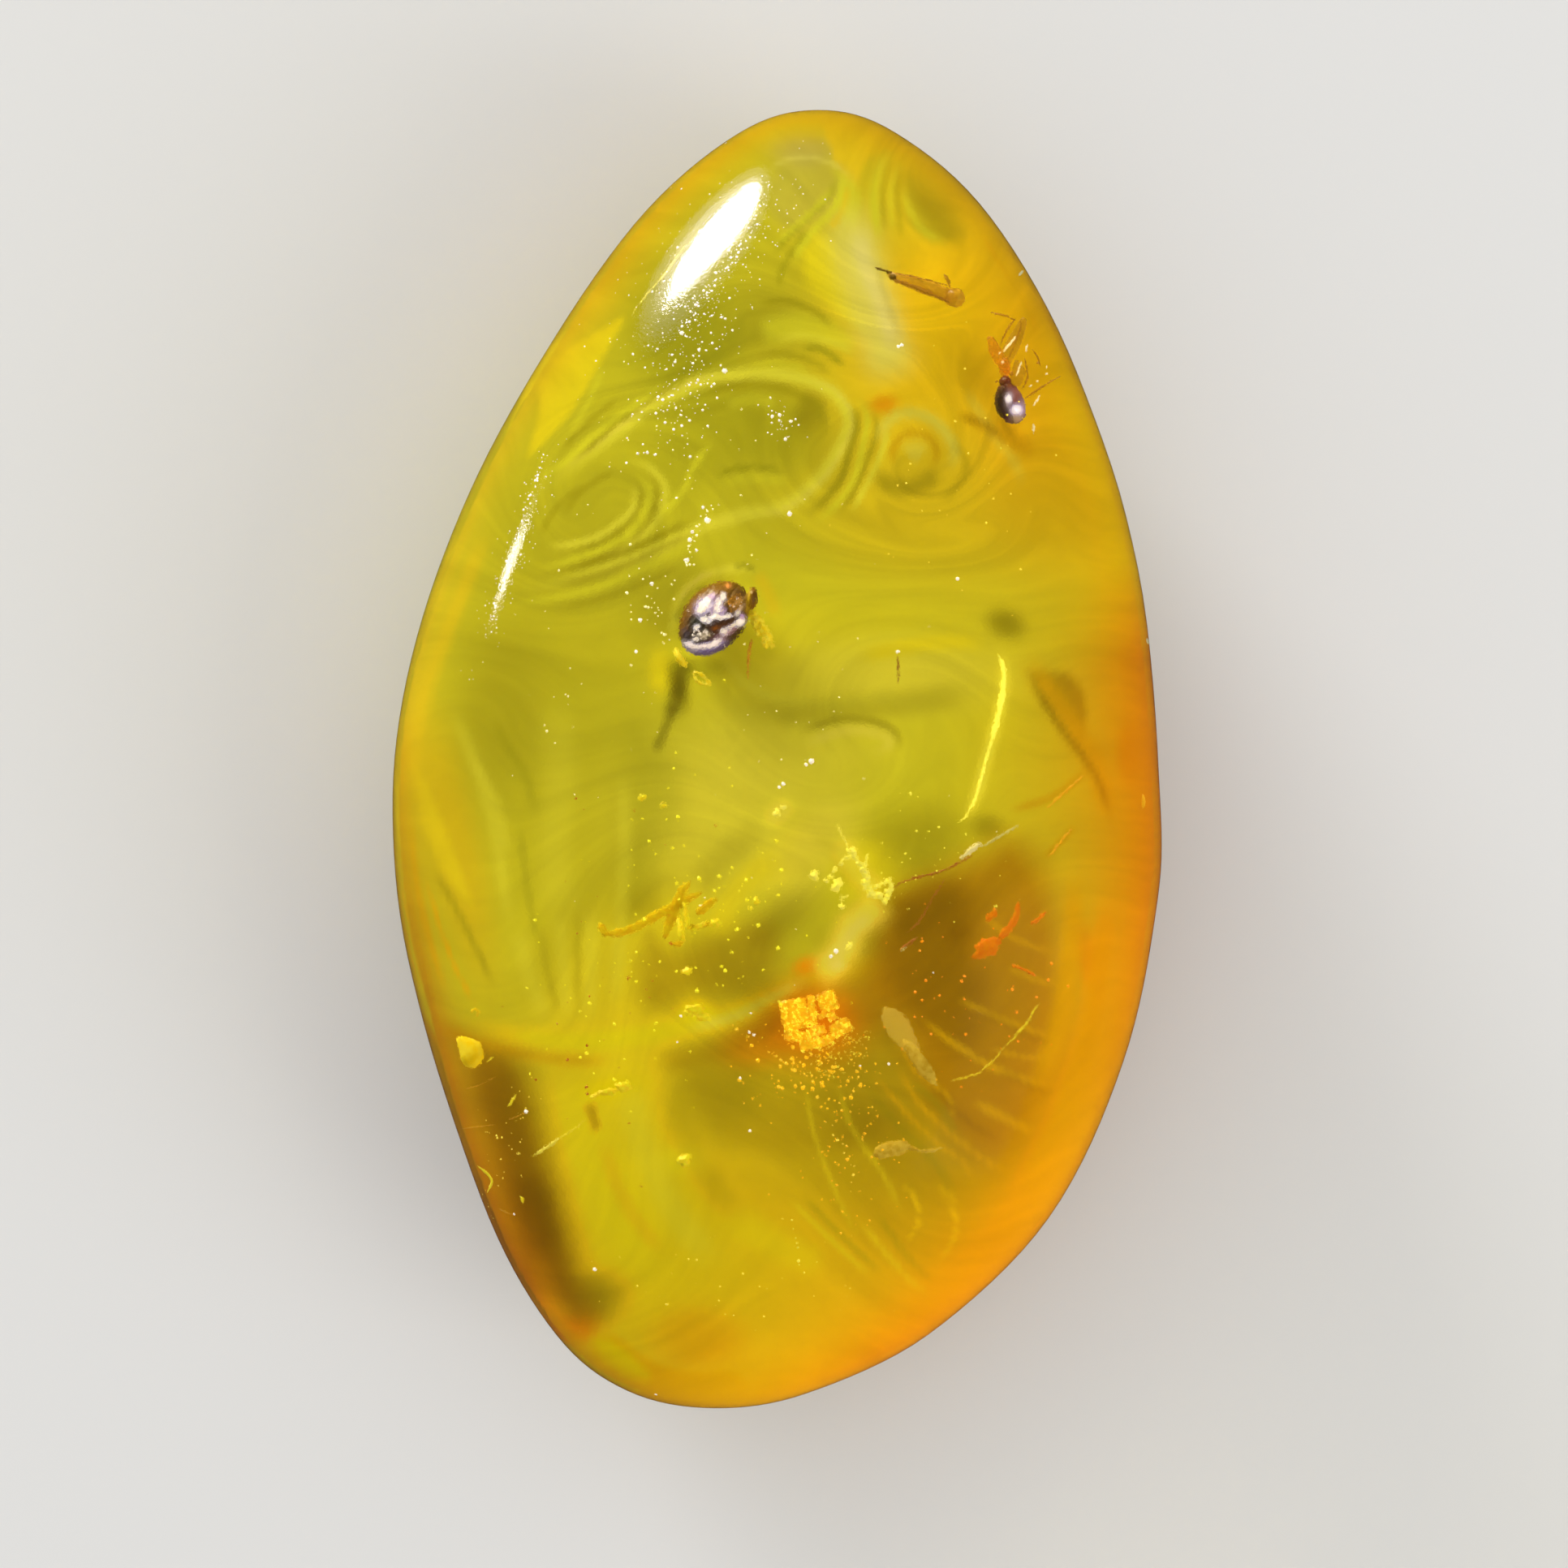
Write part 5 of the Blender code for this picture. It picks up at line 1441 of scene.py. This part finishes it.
        bm = bmesh.new()
        for x, y, long, wide, tilt in (
            (883, 1137, 7, 5, -10), (862, 1141, 11, 3, 25), (846, 1197, 8, 4, 10), (850, 1248, 7, 4, -10),
            (866, 1253, 9, 5, -10), (856, 1244, 11, 7, 10), (846, 1128, 3, 17, 12), (880, 1139, 6, 4, 0),
            (932, 1110, 4, 5, 0), (925, 1120, 3, 3, 0), (754, 1348, 4, 2.4, 20), (768, 1339, 11, 6, 10),
            (748, 1345, 12, 4, 10), (734, 1350, 7, 2.6, 20), (843, 1430, 9, 6, 30), (818, 992, 3, 3, 0),
            (792, 983, 3.5, 3.5, 0), (839, 1146, 4, 15, 8),
        ):
            add_blob(bm, (x, y, 2), (long, wide, 0.6 * wide), tilt=tilt, lumps=0.5, grain=0.2)
        # Grains of older resin, broken before they were caught: small bright golden faces, with a painted
        # glow.
        bright = sealed_colour(
            "bright_golden_grain", "#F4DC18", (870, 1200), 0.4, mottle=("#E8C010", 0.10), shine=0.12,
        )
        finish_piece("golden_grains", seal(bm), bright)
        return {"FINISHED"}


# The pale clump: half width in pixels, then the pixels that its crumbs follow.
CLUMP = (
    (1.6, ((1033, 1018), (1038, 1030), (1046, 1046))),
    (6.0, ((1048, 1048), (1056, 1060), (1066, 1074), (1068, 1088), (1075, 1100))),
    (5.0, ((1072, 1096), (1084, 1106), (1092, 1108), (1097, 1098), (1099, 1086))),
    (4.0, ((1079, 1092), (1088, 1088), (1099, 1084))),
    (2.4, ((1066, 1066), (1068, 1052))),
    (2.6, ((1036, 1112), (1037, 1107), (1046, 1104))),
    (3.0, ((1052, 1056), (1040, 1058), (1034, 1066))),
)


class AMBER_OT_debris(bpy.types.Operator):
    """Make the pale clump of plant debris"""

    bl_idname = "amber.debris"
    bl_label = "Plant debris"

    def execute(self, context):
        bm = bmesh.new()
        chance = random.Random(5)
        for size, path in CLUMP:
            add_strand(bm, [(x, y, 1) for x, y in path], 0.45 * size, waver=0.9, tail=0.1, head=0.1)
            for spot in spread_curve(path, 0.55 * size)[::2]:
                x, y = (v + chance.gauss(0, 0.35) * size for v in spot)
                long, wide = (size * chance.uniform(0.35, 0.85) for _ in range(2))
                tilt = chance.uniform(0, 180)
                spot = (x, y, chance.uniform(0, 4))
                add_blob(bm, spot, (long, wide, wide), tilt=tilt, lumps=0.7, grain=0.4, detail=2)
        for x, y, long, wide, tilt in (
            (1003, 1079, 5.5, 5, 0), (1032, 1090, 8, 6, 55), (1019, 1086, 3, 2.5, 0),
            (1024, 1080, 3, 2.5, 30), (1028, 1072, 4, 2.5, 60), (1038, 1117, 3.5, 3, 0),
            (1050, 1049, 6, 5, 20), (1066, 1076, 9, 5, -60), (958, 1001, 6, 4, 30), (966, 995, 4, 3, 0),
            (1046, 1166, 5, 3, 40),
        ):
            add_blob(bm, (x, y, 3), (long, wide, 0.7 * wide), tilt=tilt, lumps=0.6, grain=0.2)
        # Plant crumbs, chewed and soaked with resin: rough faces that scatter the light, so they
        # look pale yellow-green, and a painted glow brightens them.
        pale = sealed_colour(
            "pale_plant_debris", "#FFF850", (1050, 1080), 0.45, mottle=("#F0DC24", 0.08), shine=0.25,
        )
        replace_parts(finish_piece("plant_debris_clump", seal(bm), pale), "debris_clump")
        return {"FINISHED"}


# The plates of the crackled crust: centre, half sizes, and tilt in degrees.
PLATES = (
    ((979, 1250), (17, 19), 10), ((982, 1277), (14, 7), -10), ((1001, 1246), (4.5, 20), 8),
    ((1020, 1234), (11.5, 12.5), 18), ((1013, 1251), (5.5, 4.5), 24), ((1025, 1252), (5.5, 5), 28),
    ((1035, 1264), (13, 6), 30), ((1039, 1272), (12, 3), 30), ((1006, 1285), (21, 6), 14),
    ((1006, 1271), (12, 6.5), 20), ((1022, 1278), (8, 4), 28),
)

# The fan of dotted rows below the crust: middle, inner radius, row spacing and dot spacing.
FAN_MIDDLE = (1000, 1258)
FAN_RADIUS = 36
FAN_ROW = 5.5
FAN_DOT = 3.4
FAN_ROWS = 9
FAN_START = 12              # where the rows begin, in degrees below the way to the right
CRUST_PLACE = (1004, 1258)
PLATE_LIFT = 5              # half the thickness of a plate, in pixels


class AMBER_OT_crackled_crust(bpy.types.Operator):
    """Make the crackled orange crust and the fan of fine bubbles below it"""

    bl_idname = "amber.crackled_crust"
    bl_label = "Crackled crust"

    def execute(self, context):
        bm = bmesh.new()
        for centre, halves, tilt in PLATES:
            plate = bmesh.new()
            bmesh.ops.create_cube(plate, size=2)
            bmesh.ops.subdivide_edges(plate, edges=plate.edges[:], cuts=9, use_grid_fill=True)
            turn = Matrix.Rotation(math.radians(-tilt), 2)
            for vertex in plate.verts:
                x, y, z = vertex.co
                flat = turn @ Vector((
                    x * halves[0] * (1 - 0.06 * y * y), y * halves[1] * (1 - 0.06 * x * x),
                ))
                rough = noise.noise(Vector((flat.x * 0.33, flat.y * 0.33, centre[0])))
                fine = noise.noise(Vector((flat.x, flat.y, centre[1])) * 0.9)
                lift = PLATE_LIFT * z + (3.0 * rough + 2.0 * fine) * (z > 0)
                vertex.co = Vector((centre[0] + flat.x, centre[1] + flat.y, lift))
            plate_mesh = bpy.data.meshes.new("plate")
            plate.to_mesh(plate_mesh)
            plate.free()
            bm.from_mesh(plate_mesh)
            bpy.data.meshes.remove(plate_mesh)
        # Resin that dried in the sun and cracked before more flowed over it: broken plates that
        # light up orange where light enters the cracks, painted as an orange glow.
        painted_glow = sealed_colour(
            "crackled_orange_resin", "#FFB010", CRUST_PLACE, 0.3, mottle=("#F09408", 0.09),
            shine=0.30,
        )
        chance = random.Random(11)
        grains = bmesh.new()
        for centre, halves, tilt in PLATES:
            turn = Matrix.Rotation(math.radians(-tilt), 2)
            for _ in range(int(halves[0] * halves[1] / 4.5)):
                flat = turn @ Vector([chance.uniform(-1, 1) * half for half in halves])
                size = chance.uniform(0.7, 1.7)
                spot = (centre[0] + flat.x, centre[1] + flat.y, 1.3 * PLATE_LIFT)
                add_blob(grains, spot, (size, size, size), detail=1)
        for row in range(FAN_ROWS):
            radius = FAN_RADIUS + row * FAN_ROW
            for step in range(int(radius * 1.5 / FAN_DOT)):
                angle = math.radians(FAN_START) + step * FAN_DOT / radius
                x = FAN_MIDDLE[0] + radius * math.cos(angle) + chance.uniform(-1, 1)
                y = FAN_MIDDLE[1] + radius * math.sin(angle) * 0.92 + chance.uniform(-1, 1)
                if chance.random() < 0.75 - 0.06 * row:
                    size = chance.uniform(0.5, 1.1)
                    add_blob(grains, (x, y, 0), (size, size, size), detail=1)
        # Grains broken off the same crust: their fresh faces are bright yellow points, painted as a glow.
        grain = sealed_colour("crackled_resin_grains", "#FFD830", CRUST_PLACE, 0.3, shine=0.35)
        dots = finish_piece("crackled_crust_grains", seal(grains), grain)
        dots.visible_shadow = False
        plates = finish_piece("crackled_crust_plates", seal(bm), painted_glow)
        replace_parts(plates, "crackled_crust")
        return {"FINISHED"}


# Bubbles strewn through the resin: colour, how many, smallest and largest radius in pixels,
# lift off the cloud, centre, half sizes and tilt in degrees of where they lie.
BUBBLES = (
    # The white ones on the upper left, round the lamps' highlights, are painted glints: bubbles and pits
    # that catch the lamps, drawn as glowing dots.
    ("#FFFFFF", 260, 0.5, 2.2, (0.55, 0.95), (846, 440), (52, 160), -12),
    ("#FFFFFF", 40, 0.5, 2.4, (0.5, 0.9), (962, 522), (20, 28), 20),
    ("#FFFFFF", 150, 0.4, 1.2, (0.8, 0.98), (636, 680), (20, 130), -20),
    ("#FFFFFF", 420, 0.4, 1.2, (0.85, 0.98), (878, 330), (64, 150), -38),
    ("#F4F0A0", 60, 0.5, 1.3, (0.7, 0.95), (830, 480), (90, 200), -12),
    ("#F4F0A0", 30, 0.8, 2.2, (0.5, 0.8), (800, 745), (34, 66), 10),
    ("#F4F0A0", 26, 0.7, 1.8, (0.3, 0.8), (700, 880), (120, 200), 0),
    ("#F8DC20", 110, 0.7, 2.9, (0.2, 0.6), (880, 1120), (130, 190), 20),
    ("#F8DC20", 60, 0.7, 2.2, (0.2, 0.6), (760, 1240), (120, 160), 0),
    ("#FFB010", 150, 0.8, 2.9, (0.2, 0.6), (1010, 1320), (84, 64), -20),
    ("#FFA810", 80, 0.7, 2.0, (0.2, 0.6), (1050, 1420), (70, 90), 0),
    ("#F8E040", 40, 0.7, 2.0, (0.2, 0.7), (1150, 1060), (100, 100), 0),
    ("#E88408", 60, 0.7, 2.0, (0.2, 0.6), (1190, 1230), (120, 120), 0),
    ("#9A5808", 34, 0.8, 2.4, (0.1, 0.5), (760, 1230), (120, 200), 0),
    ("#F8D040", 40, 0.6, 1.8, (0.3, 0.8), (1180, 560), (120, 190), 0),
    ("#F8D040", 50, 0.6, 1.7, (0.3, 0.8), (620, 1420), (40, 120), -18),
    ("#F8D040", 40, 0.6, 1.6, (0.3, 0.8), (900, 1590), (180, 80), 0),
    ("#F4F0A0", 60, 0.6, 1.6, (0.3, 0.8), (980, 800), (200, 300), 0),
)

# Single bubbles that stand out: pixel and radius in pixels. Those below the row of pixels
# LOWER_BUBBLES lie deeper, and look smaller by LOWER_SHARE.
LOWER_BUBBLES = 1190
LOWER_SHARE = 0.65
WHITE_BUBBLES = (
    (973, 633, 3.4), (1000, 938, 3.6), (993, 942, 2.4), (965, 966, 2.8), (960, 970, 2.4),
    (1180, 713, 2.6), (1106, 803, 2.6), (648, 1370, 4.4), (733, 1564, 4.0), (924, 1393, 3.2),
    (872, 641, 4.0), (866, 625, 2.4), (850, 665, 3.0), (846, 690, 3.2), (853, 655, 2.2), (858, 678, 2.0),
    (893, 457, 3.6), (840, 410, 3.0), (1107, 427, 2.4), (1111, 425, 2.4), (839, 1252, 3.0),
    (923, 1272, 2.4), (929, 1275, 3.0), (912, 1328, 2.6), (1060, 1313, 2.8), (1095, 1311, 3.2),
    (925, 1248, 2.2), (834, 1284, 2.2), (634, 1496, 2.6), (808, 1718, 3.0), (1150, 1198, 2.2),
    (1030, 1172, 3.4), (1024, 1178, 2.6), (784, 803, 2.4), (789, 764, 2.6), (803, 719, 2.6),
)

# Chains of fine bubbles: colour, lift off the cloud, spacing and scatter, then pixels. The
# orange ones curve below the crust, and the white ones lie along the upper left, just under the
# surface along the lamps' highlights, as painted glints.
CHAINS = (
    ("#FFB820", 0.4, 5, 2, ((964, 1310), (985, 1322), (1010, 1326), (1030, 1322))),
    ("#FFB820", 0.4, 5, 2, ((945, 1290), (960, 1305), (975, 1312))),
    ("#FFB820", 0.4, 5, 2, ((1040, 1290), (1052, 1310), (1056, 1335), (1048, 1352))),
    ("#FFB820", 0.4, 6, 2, ((1000, 1300), (1018, 1312), (1036, 1318))),
    ("#FFB820", 0.4, 9, 3, ((990, 1336), (1010, 1352), (1036, 1358))),
    ("#FFC838", 0.4, 8, 3, ((1020, 1380), (1036, 1410), (1050, 1440), (1048, 1468))),
    ("#FFB820", 0.4, 9, 4, ((1078, 1352), (1074, 1380), (1062, 1400))),
    ("#FFB820", 0.4, 8, 3, ((905, 1262), (915, 1275), (935, 1282))),
    ("#FFD848", 0.4, 8, 5, ((968, 1500), (982, 1530), (984, 1560))),
    ("#FFFFFF", 0.96, 3.0, 4, ((946, 222), (934, 262), (914, 300), (888, 338), (868, 362))),
    ("#FFFFFF", 0.96, 3.0, 4, ((872, 360), (850, 374), (834, 376), (822, 368))),
    ("#FFFFFF", 0.9, 3.0, 4, ((868, 366), (856, 382), (848, 396), (844, 404))),
    ("#FFFFFF", 0.9, 5.0, 3, ((840, 400), (862, 386), (886, 388))),
    ("#FFFFFF", 0.96, 3.0, 3, ((672, 560), (655, 610), (634, 668), (618, 720), (606, 762))),
    ("#F4F0A0", 0.8, 3.0, 6, ((876, 625), (862, 650), (848, 676), (852, 700))),
)


class AMBER_OT_bubbles(bpy.types.Operator):
    """Strew the bubbles and fine grains through the resin"""

    bl_idname = "amber.bubbles"
    bl_label = "Bubbles and fine grains"

    def execute(self, context):
        chance = random.Random(7)
        groups = {}

        def drop(colour, x, y, lift, radius):
            place, path = inside(x, y, lift)
            groups.setdefault(colour, []).append((place, path, radius * MM_PER_PIXEL))

        for colour, count, smallest, largest, lifts, centre, halves, tilt in BUBBLES:
            turn = Matrix.Rotation(math.radians(-tilt), 2)
            for _ in range(count):
                away = turn @ Vector((chance.gauss(0, 0.5) * halves[0], chance.gauss(0, 0.5) * halves[1]))
                size = smallest + (largest - smallest) * chance.random() ** 3
                drop(colour, centre[0] + away.x, centre[1] + away.y, chance.uniform(*lifts), size)
        for x, y, radius in WHITE_BUBBLES:
            drop("#FFFFF0", x, y, 0.6, radius * (LOWER_SHARE if y > LOWER_BUBBLES else 1.0))
        for colour, lift, spacing, scatter, points in CHAINS:
            for x, y in spread_curve(points, spacing):
                x, y = x + chance.uniform(-scatter, scatter), y + chance.uniform(-scatter, scatter)
                drop(colour, x, y, lift, 0.6 + 1.4 * chance.random() ** 2)
        for number, (colour, drops) in enumerate(groups.items()):
            bm = bmesh.new()
            for place, path, radius in drops:
                made = bmesh.ops.create_icosphere(bm, subdivisions=1, radius=radius)["verts"]
                bmesh.ops.translate(bm, vec=place, verts=made)
            mean = sum(path for _, path, _ in drops) / len(drops)
            value = through_amber(np.array([linear(colour)[:3]]), np.array([mean]))[0]
            # The wall of a bubble of air, rounded by the liquid resin: smooth as glass, so it
            # mirrors the light and shows as a bright dot, which is painted as a glow.
            material = solid_colour(
                f"bubble_wall_{number}", (*value, 1.0), roughness=0.2, specular=0.8, shine=0.4,
            )
            finish_piece(f"bubbles_{number}", bm, material).visible_shadow = False
        return {"FINISHED"}


# Fine lines in the resin: colour, width in pixels, then pixels.
LINES = (
    # The bright line, painted as a glowing strand where light shows along it.
    ("painted_glow", 6.5, ((1228, 804), (1236, 820), (1236, 850), (1230, 880), (1224, 905), (1218, 924))),
    ("painted_glow", 3, ((1221, 915), (1211, 950), (1203, 980), (1192, 1003), (1181, 1014))),
    ("rust", 2.6, ((1101, 1094), (1112, 1087), (1134, 1080), (1152, 1076), (1168, 1070), (1184, 1062),
        (1200, 1053))),
    ("cream", 6, ((1182, 1059), (1196, 1048), (1206, 1040), (1210, 1043))),
    ("haze", 2.4, ((1208, 1044), (1238, 1027), (1256, 1016))),
    ("rust", 1.5, ((1165, 1082), (1152, 1102), (1142, 1120), (1130, 1138), (1118, 1150))),
    ("rust", 3.0, ((1130, 1154), (1118, 1164), (1108, 1172))),
    ("haze", 2.4, ((1118, 1166), (1110, 1173))),
    ("brown", 2, ((1106, 807), (1107, 824), (1106, 842))),
    ("bright_orange", 2.4, ((1289, 997), (1313, 975), (1337, 954))),
    ("bright_orange", 2.4, ((1292, 1056), (1308, 1036), (1321, 1021))),
    ("lemon", 2.0, ((1280, 1237), (1262, 1264), (1239, 1289))),
    ("sunny", 1.6, ((1239, 1289), (1222, 1308), (1203, 1323), (1170, 1332))),
    ("straw", 4, ((658, 1424), (676, 1412), (692, 1401))),
    ("lemon", 3, ((588, 1436), (602, 1448), (606, 1457), (600, 1470))),
    # A painted glint at the right rim.
    ("bright_orange", 4, ((1408, 978), (1409, 988), (1408, 997))),
    ("cream", 3, ((1413, 786), (1415, 794))),
    # A painted reflection: a thin bright line beside the key lamp's highlight.
    ("straw", 1.8, ((862, 284), (840, 310), (815, 342), (793, 367), (778, 390))),
    ("cream", 3, ((1255, 340), (1261, 333))),
    ("lemon", 3, ((600, 1309), (604, 1305), (608, 1302))),
    ("lemon", 3, ((626, 1364), (631, 1357), (637, 1348))),
    ("lemon", 2.4, ((641, 1473), (644, 1477), (645, 1483))),
    ("deep_gold", 1.4, ((614, 1489), (624, 1494), (634, 1497))),
    ("deep_gold", 1.2, ((568, 1391), (590, 1388), (610, 1386))),
    ("deep_gold", 1.2, ((574, 1342), (592, 1336), (612, 1326))),
    ("deep_gold", 1.2, ((626, 1380), (640, 1374), (652, 1370))),
    ("lemon", 1.6, ((656, 1425), (700, 1396), (722, 1380))),
)


class AMBER_OT_lines(bpy.types.Operator):
    """Make the cracks, the bright line and the fine lines in the resin"""

    bl_idname = "amber.lines"
    bl_label = "Cracks and fine lines"

    def execute(self, context):
        groups = {}
        for colour, width, points in LINES:
            groups.setdefault(colour, []).append((width, points))
        for colour, lines in groups.items():
            bm = bmesh.new()
            for width, points in lines:
                raised = [(x, y, 0.0) for x, y in points]
                add_strand(bm, raised, width / 2, sides=8, flat=0.6, tail=0.3, head=0.3, waver=0.3)
            x, y = lines[0][1][0]
            shine = 0.6 if colour == "painted_glow" else 0.05
            # The walls of a fine crack in the resin, split and half healed: nearly smooth, so it
            # shows as a thin line that mirrors the light. Each line also glows faintly as painted light,
            # the bright line strongly, and some lines are painted reflections and glints.
            material = solid_colour(
                f"resin_crack_{colour}", shown_as(COLOURS[colour], x, y), roughness=0.4, shine=shine,
            )
            piece = finish_piece(f"lines_{colour}", seal(bm), material)
            piece.visible_shadow = False
        return {"FINISHED"}


def mirror_way(x, y):
    """Where the line of sight to a pixel goes after it is mirrored by the polished surface."""
    way, hit, normal = sight(seen_point(x, y))
    return hit, way - 2 * way.dot(normal) * normal


def add_lamp(name, place, aim, across, size, power, colour, shape):
    """A soft lamp that faces a point, with its width along a given way; in millimetres."""
    light = bpy.data.lights.new(name, "AREA")
    light.shape = shape
    light.size, light.size_y = size[0] * MM, size[1] * MM
    light.energy = power
    light.color = colour
    lamp = bpy.data.objects.new(name, light)
    back = (place - aim).normalized()
    side = (across - back * across.dot(back)).normalized()
    turned = Matrix((side, back.cross(side), back)).transposed().to_4x4()
    lamp.matrix_world = Matrix.Translation(place * MM) @ turned
    lamp.visible_camera = False
    bpy.context.scene.collection.objects.link(lamp)
    return lamp


def add_mirrored_lamp(name, ends, width, distance, power, colour):
    """A lamp that shows in the polish between two pixels of the photograph, so wide in pixels."""
    hits = [mirror_way(*pixel) for pixel in ends]
    tips = [hit + way.normalized() * distance for hit, way in hits]
    middle = ((ends[0][0] + ends[1][0]) / 2, (ends[0][1] + ends[1][1]) / 2)
    length = math.hypot(ends[1][0] - ends[0][0], ends[1][1] - ends[0][1])
    side = ((ends[1][1] - ends[0][1]) / length, (ends[0][0] - ends[1][0]) / length)
    flanks = []
    for sign in (-1, 1):
        hit, way = mirror_way(*(m + sign * s * width / 2 for m, s in zip(middle, side)))
        flanks.append(hit + way.normalized() * distance)
    hit, _ = mirror_way(*middle)
    place = (tips[0] + tips[1] + flanks[0] + flanks[1]) / 4
    size = ((tips[0] - tips[1]).length, (flanks[0] - flanks[1]).length)
    return add_lamp(name, place, hit, tips[1] - tips[0], size, power, colour, "ELLIPSE")


# The lamps that the polish mirrors: the pixels that each shows between, its width in pixels,
# distance in millimetres, power in watts and colour. The edge and bounce soften the main ones.
LAMPS = (
    ("key_softbox", ((936, 222), (842, 350)), 46, 300, 0.70, (1.0, 0.98, 1.0)),
    ("key_edge", ((942, 214), (830, 364)), 58, 310, 0.20, (1.0, 0.98, 1.0)),
    ("key_bounce", ((950, 206), (812, 386)), 82, 320, 0.12, (1.0, 0.98, 1.0)),
    ("side_strip", ((642, 652), (613, 735)), 6, 300, 0.03, (1.0, 1.0, 1.0)),
    ("side_bounce", ((655, 610), (606, 758)), 9, 320, 0.010, (1.0, 1.0, 1.0)),
)

# The lamp at the right: place, aim, the way of its width, size, power, colour and shape.
FILL_LAMP = (
    "right_fill", Vector((220, -120, 140)), Vector((0, 0, 5)), Vector((0, 1, 0)), (160, 160), 0.35,
    (1.0, 0.97, 0.92), "RECTANGLE",
)

FLOOR_HALF = 0.6            # half the floor's side, in metres
CLIP = (0.01, 10.0)         # the camera's nearest and farthest distance, in metres
CLEAR_FACES = 24            # how many clear faces light may cross on its way


class StageLook(bpy.types.PropertyGroup):
    """The board under the amber and the sky over it."""

    board: FloatVectorProperty(
        name="Board", description="Colour of the board that the amber lies on", subtype="COLOR",
        default=linear("#CDCDCB")[:3], min=0, max=1,
    )
    sky: FloatProperty(
        name="Sky", description="Brightness of the soft light from all round", default=0.88, min=0,
    )
    mirrored_sky: FloatProperty(
        name="Mirrored sky", description="Brightness of the sky as the polish mirrors it", default=0.03,
        min=0,
    )


class AMBER_OT_stage(bpy.types.Operator):
    """Make the floor, the lamps, the sky and the camera"""

    bl_idname = "amber.stage"
    bl_label = "Stage"

    def execute(self, context):
        scene = context.scene
        look = scene.stage_look
        bm = bmesh.new()
        bmesh.ops.create_grid(bm, x_segments=1, y_segments=1, size=FLOOR_HALF)
        mesh = bpy.data.meshes.new("floor")
        bm.to_mesh(mesh)
        bm.free()
        floor = bpy.data.objects.new("floor", mesh)
        # Pressed board with a flat coat of emulsion paint: finely rough, so pale and without gloss.
        material, output = new_material("matt_pale_board")
        tree = material.node_tree
        shader = add_node(tree, "ShaderNodeBsdfPrincipled", {
            "Base Color": (*look.board, 1.0), "Roughness": 0.9,
        })
        tree.links.new(shader.outputs[0], output.inputs["Surface"])
        mesh.materials.append(material)
        scene.collection.objects.link(floor)
        floor.visible_glossy = False

        world = bpy.data.worlds.new("soft_sky")
        world.use_nodes = True
        tree = world.node_tree
        tree.nodes.clear()
        rays = add_node(tree, "ShaderNodeLightPath")
        sky, dim = (
            add_node(tree, "ShaderNodeBackground", {"Color": (1.0, 1.0, 1.0, 1.0), "Strength": strength})
            for strength in (look.sky, look.mirrored_sky)
        )
        mixed = add_node(tree, "ShaderNodeMixShader", {
            0: rays.outputs["Is Glossy Ray"], 1: sky.outputs[0], 2: dim.outputs[0],
        })
        add_node(tree, "ShaderNodeOutputWorld", {"Surface": mixed.outputs[0]})
        scene.world = world

        for lamp in LAMPS:
            add_mirrored_lamp(*lamp)
        add_lamp(*FILL_LAMP).visible_glossy = False

        view = bpy.data.cameras.new("camera")
        view.sensor_width = 36.0
        view.lens = view.sensor_width * (EYE_HEIGHT - OUTLINE_HEIGHT) / (PHOTO_SIDE * MM_PER_PIXEL)
        view.clip_start, view.clip_end = CLIP
        camera = bpy.data.objects.new("camera", view)
        camera.location = EYE * MM
        scene.collection.objects.link(camera)
        scene.camera = camera
        scene.view_settings.view_transform = "Standard"
        scene.cycles.transparent_max_bounces = CLEAR_FACES
        return {"FINISHED"}


class AMBER_PT_panel(bpy.types.Panel):
    """The sidebar panel that lists the looks and the pieces"""

    bl_label = "Amber nugget"
    bl_idname = "AMBER_PT_panel"
    bl_space_type = "VIEW_3D"
    bl_region_type = "UI"
    bl_category = "Amber"

    def draw(self, context):
        scene = context.scene
        for look in (scene.amber_look, scene.cloud_look, scene.sealed_look, scene.stage_look):
            for name in type(look).__annotations__:
                self.layout.prop(look, name)
        for operator in OPERATORS:
            self.layout.operator(operator.bl_idname)


OPERATORS = (
    AMBER_OT_clear_lump,
    AMBER_OT_milk,
    AMBER_OT_lines,
    AMBER_OT_round_beetle,
    AMBER_OT_small_beetle,
    AMBER_OT_slender_insect,
    AMBER_OT_grains,
    AMBER_OT_debris,
    AMBER_OT_crackled_crust,
    AMBER_OT_bubbles,
    AMBER_OT_stage,
)
CLASSES = (AmberLook, CloudLook, SealedLook, StageLook, *OPERATORS, AMBER_PT_panel)


def register():
    for each in CLASSES:
        bpy.utils.register_class(each)
    bpy.types.Scene.amber_look = PointerProperty(type=AmberLook)
    bpy.types.Scene.cloud_look = PointerProperty(type=CloudLook)
    bpy.types.Scene.sealed_look = PointerProperty(type=SealedLook)
    bpy.types.Scene.stage_look = PointerProperty(type=StageLook)


def unregister():
    del bpy.types.Scene.stage_look
    del bpy.types.Scene.sealed_look
    del bpy.types.Scene.cloud_look
    del bpy.types.Scene.amber_look
    for each in reversed(CLASSES):
        bpy.utils.unregister_class(each)


def main():
    register()
    for operator in OPERATORS:
        group, name = operator.bl_idname.split(".")
        getattr(getattr(bpy.ops, group), name)()


if __name__ == "__main__":
    main()
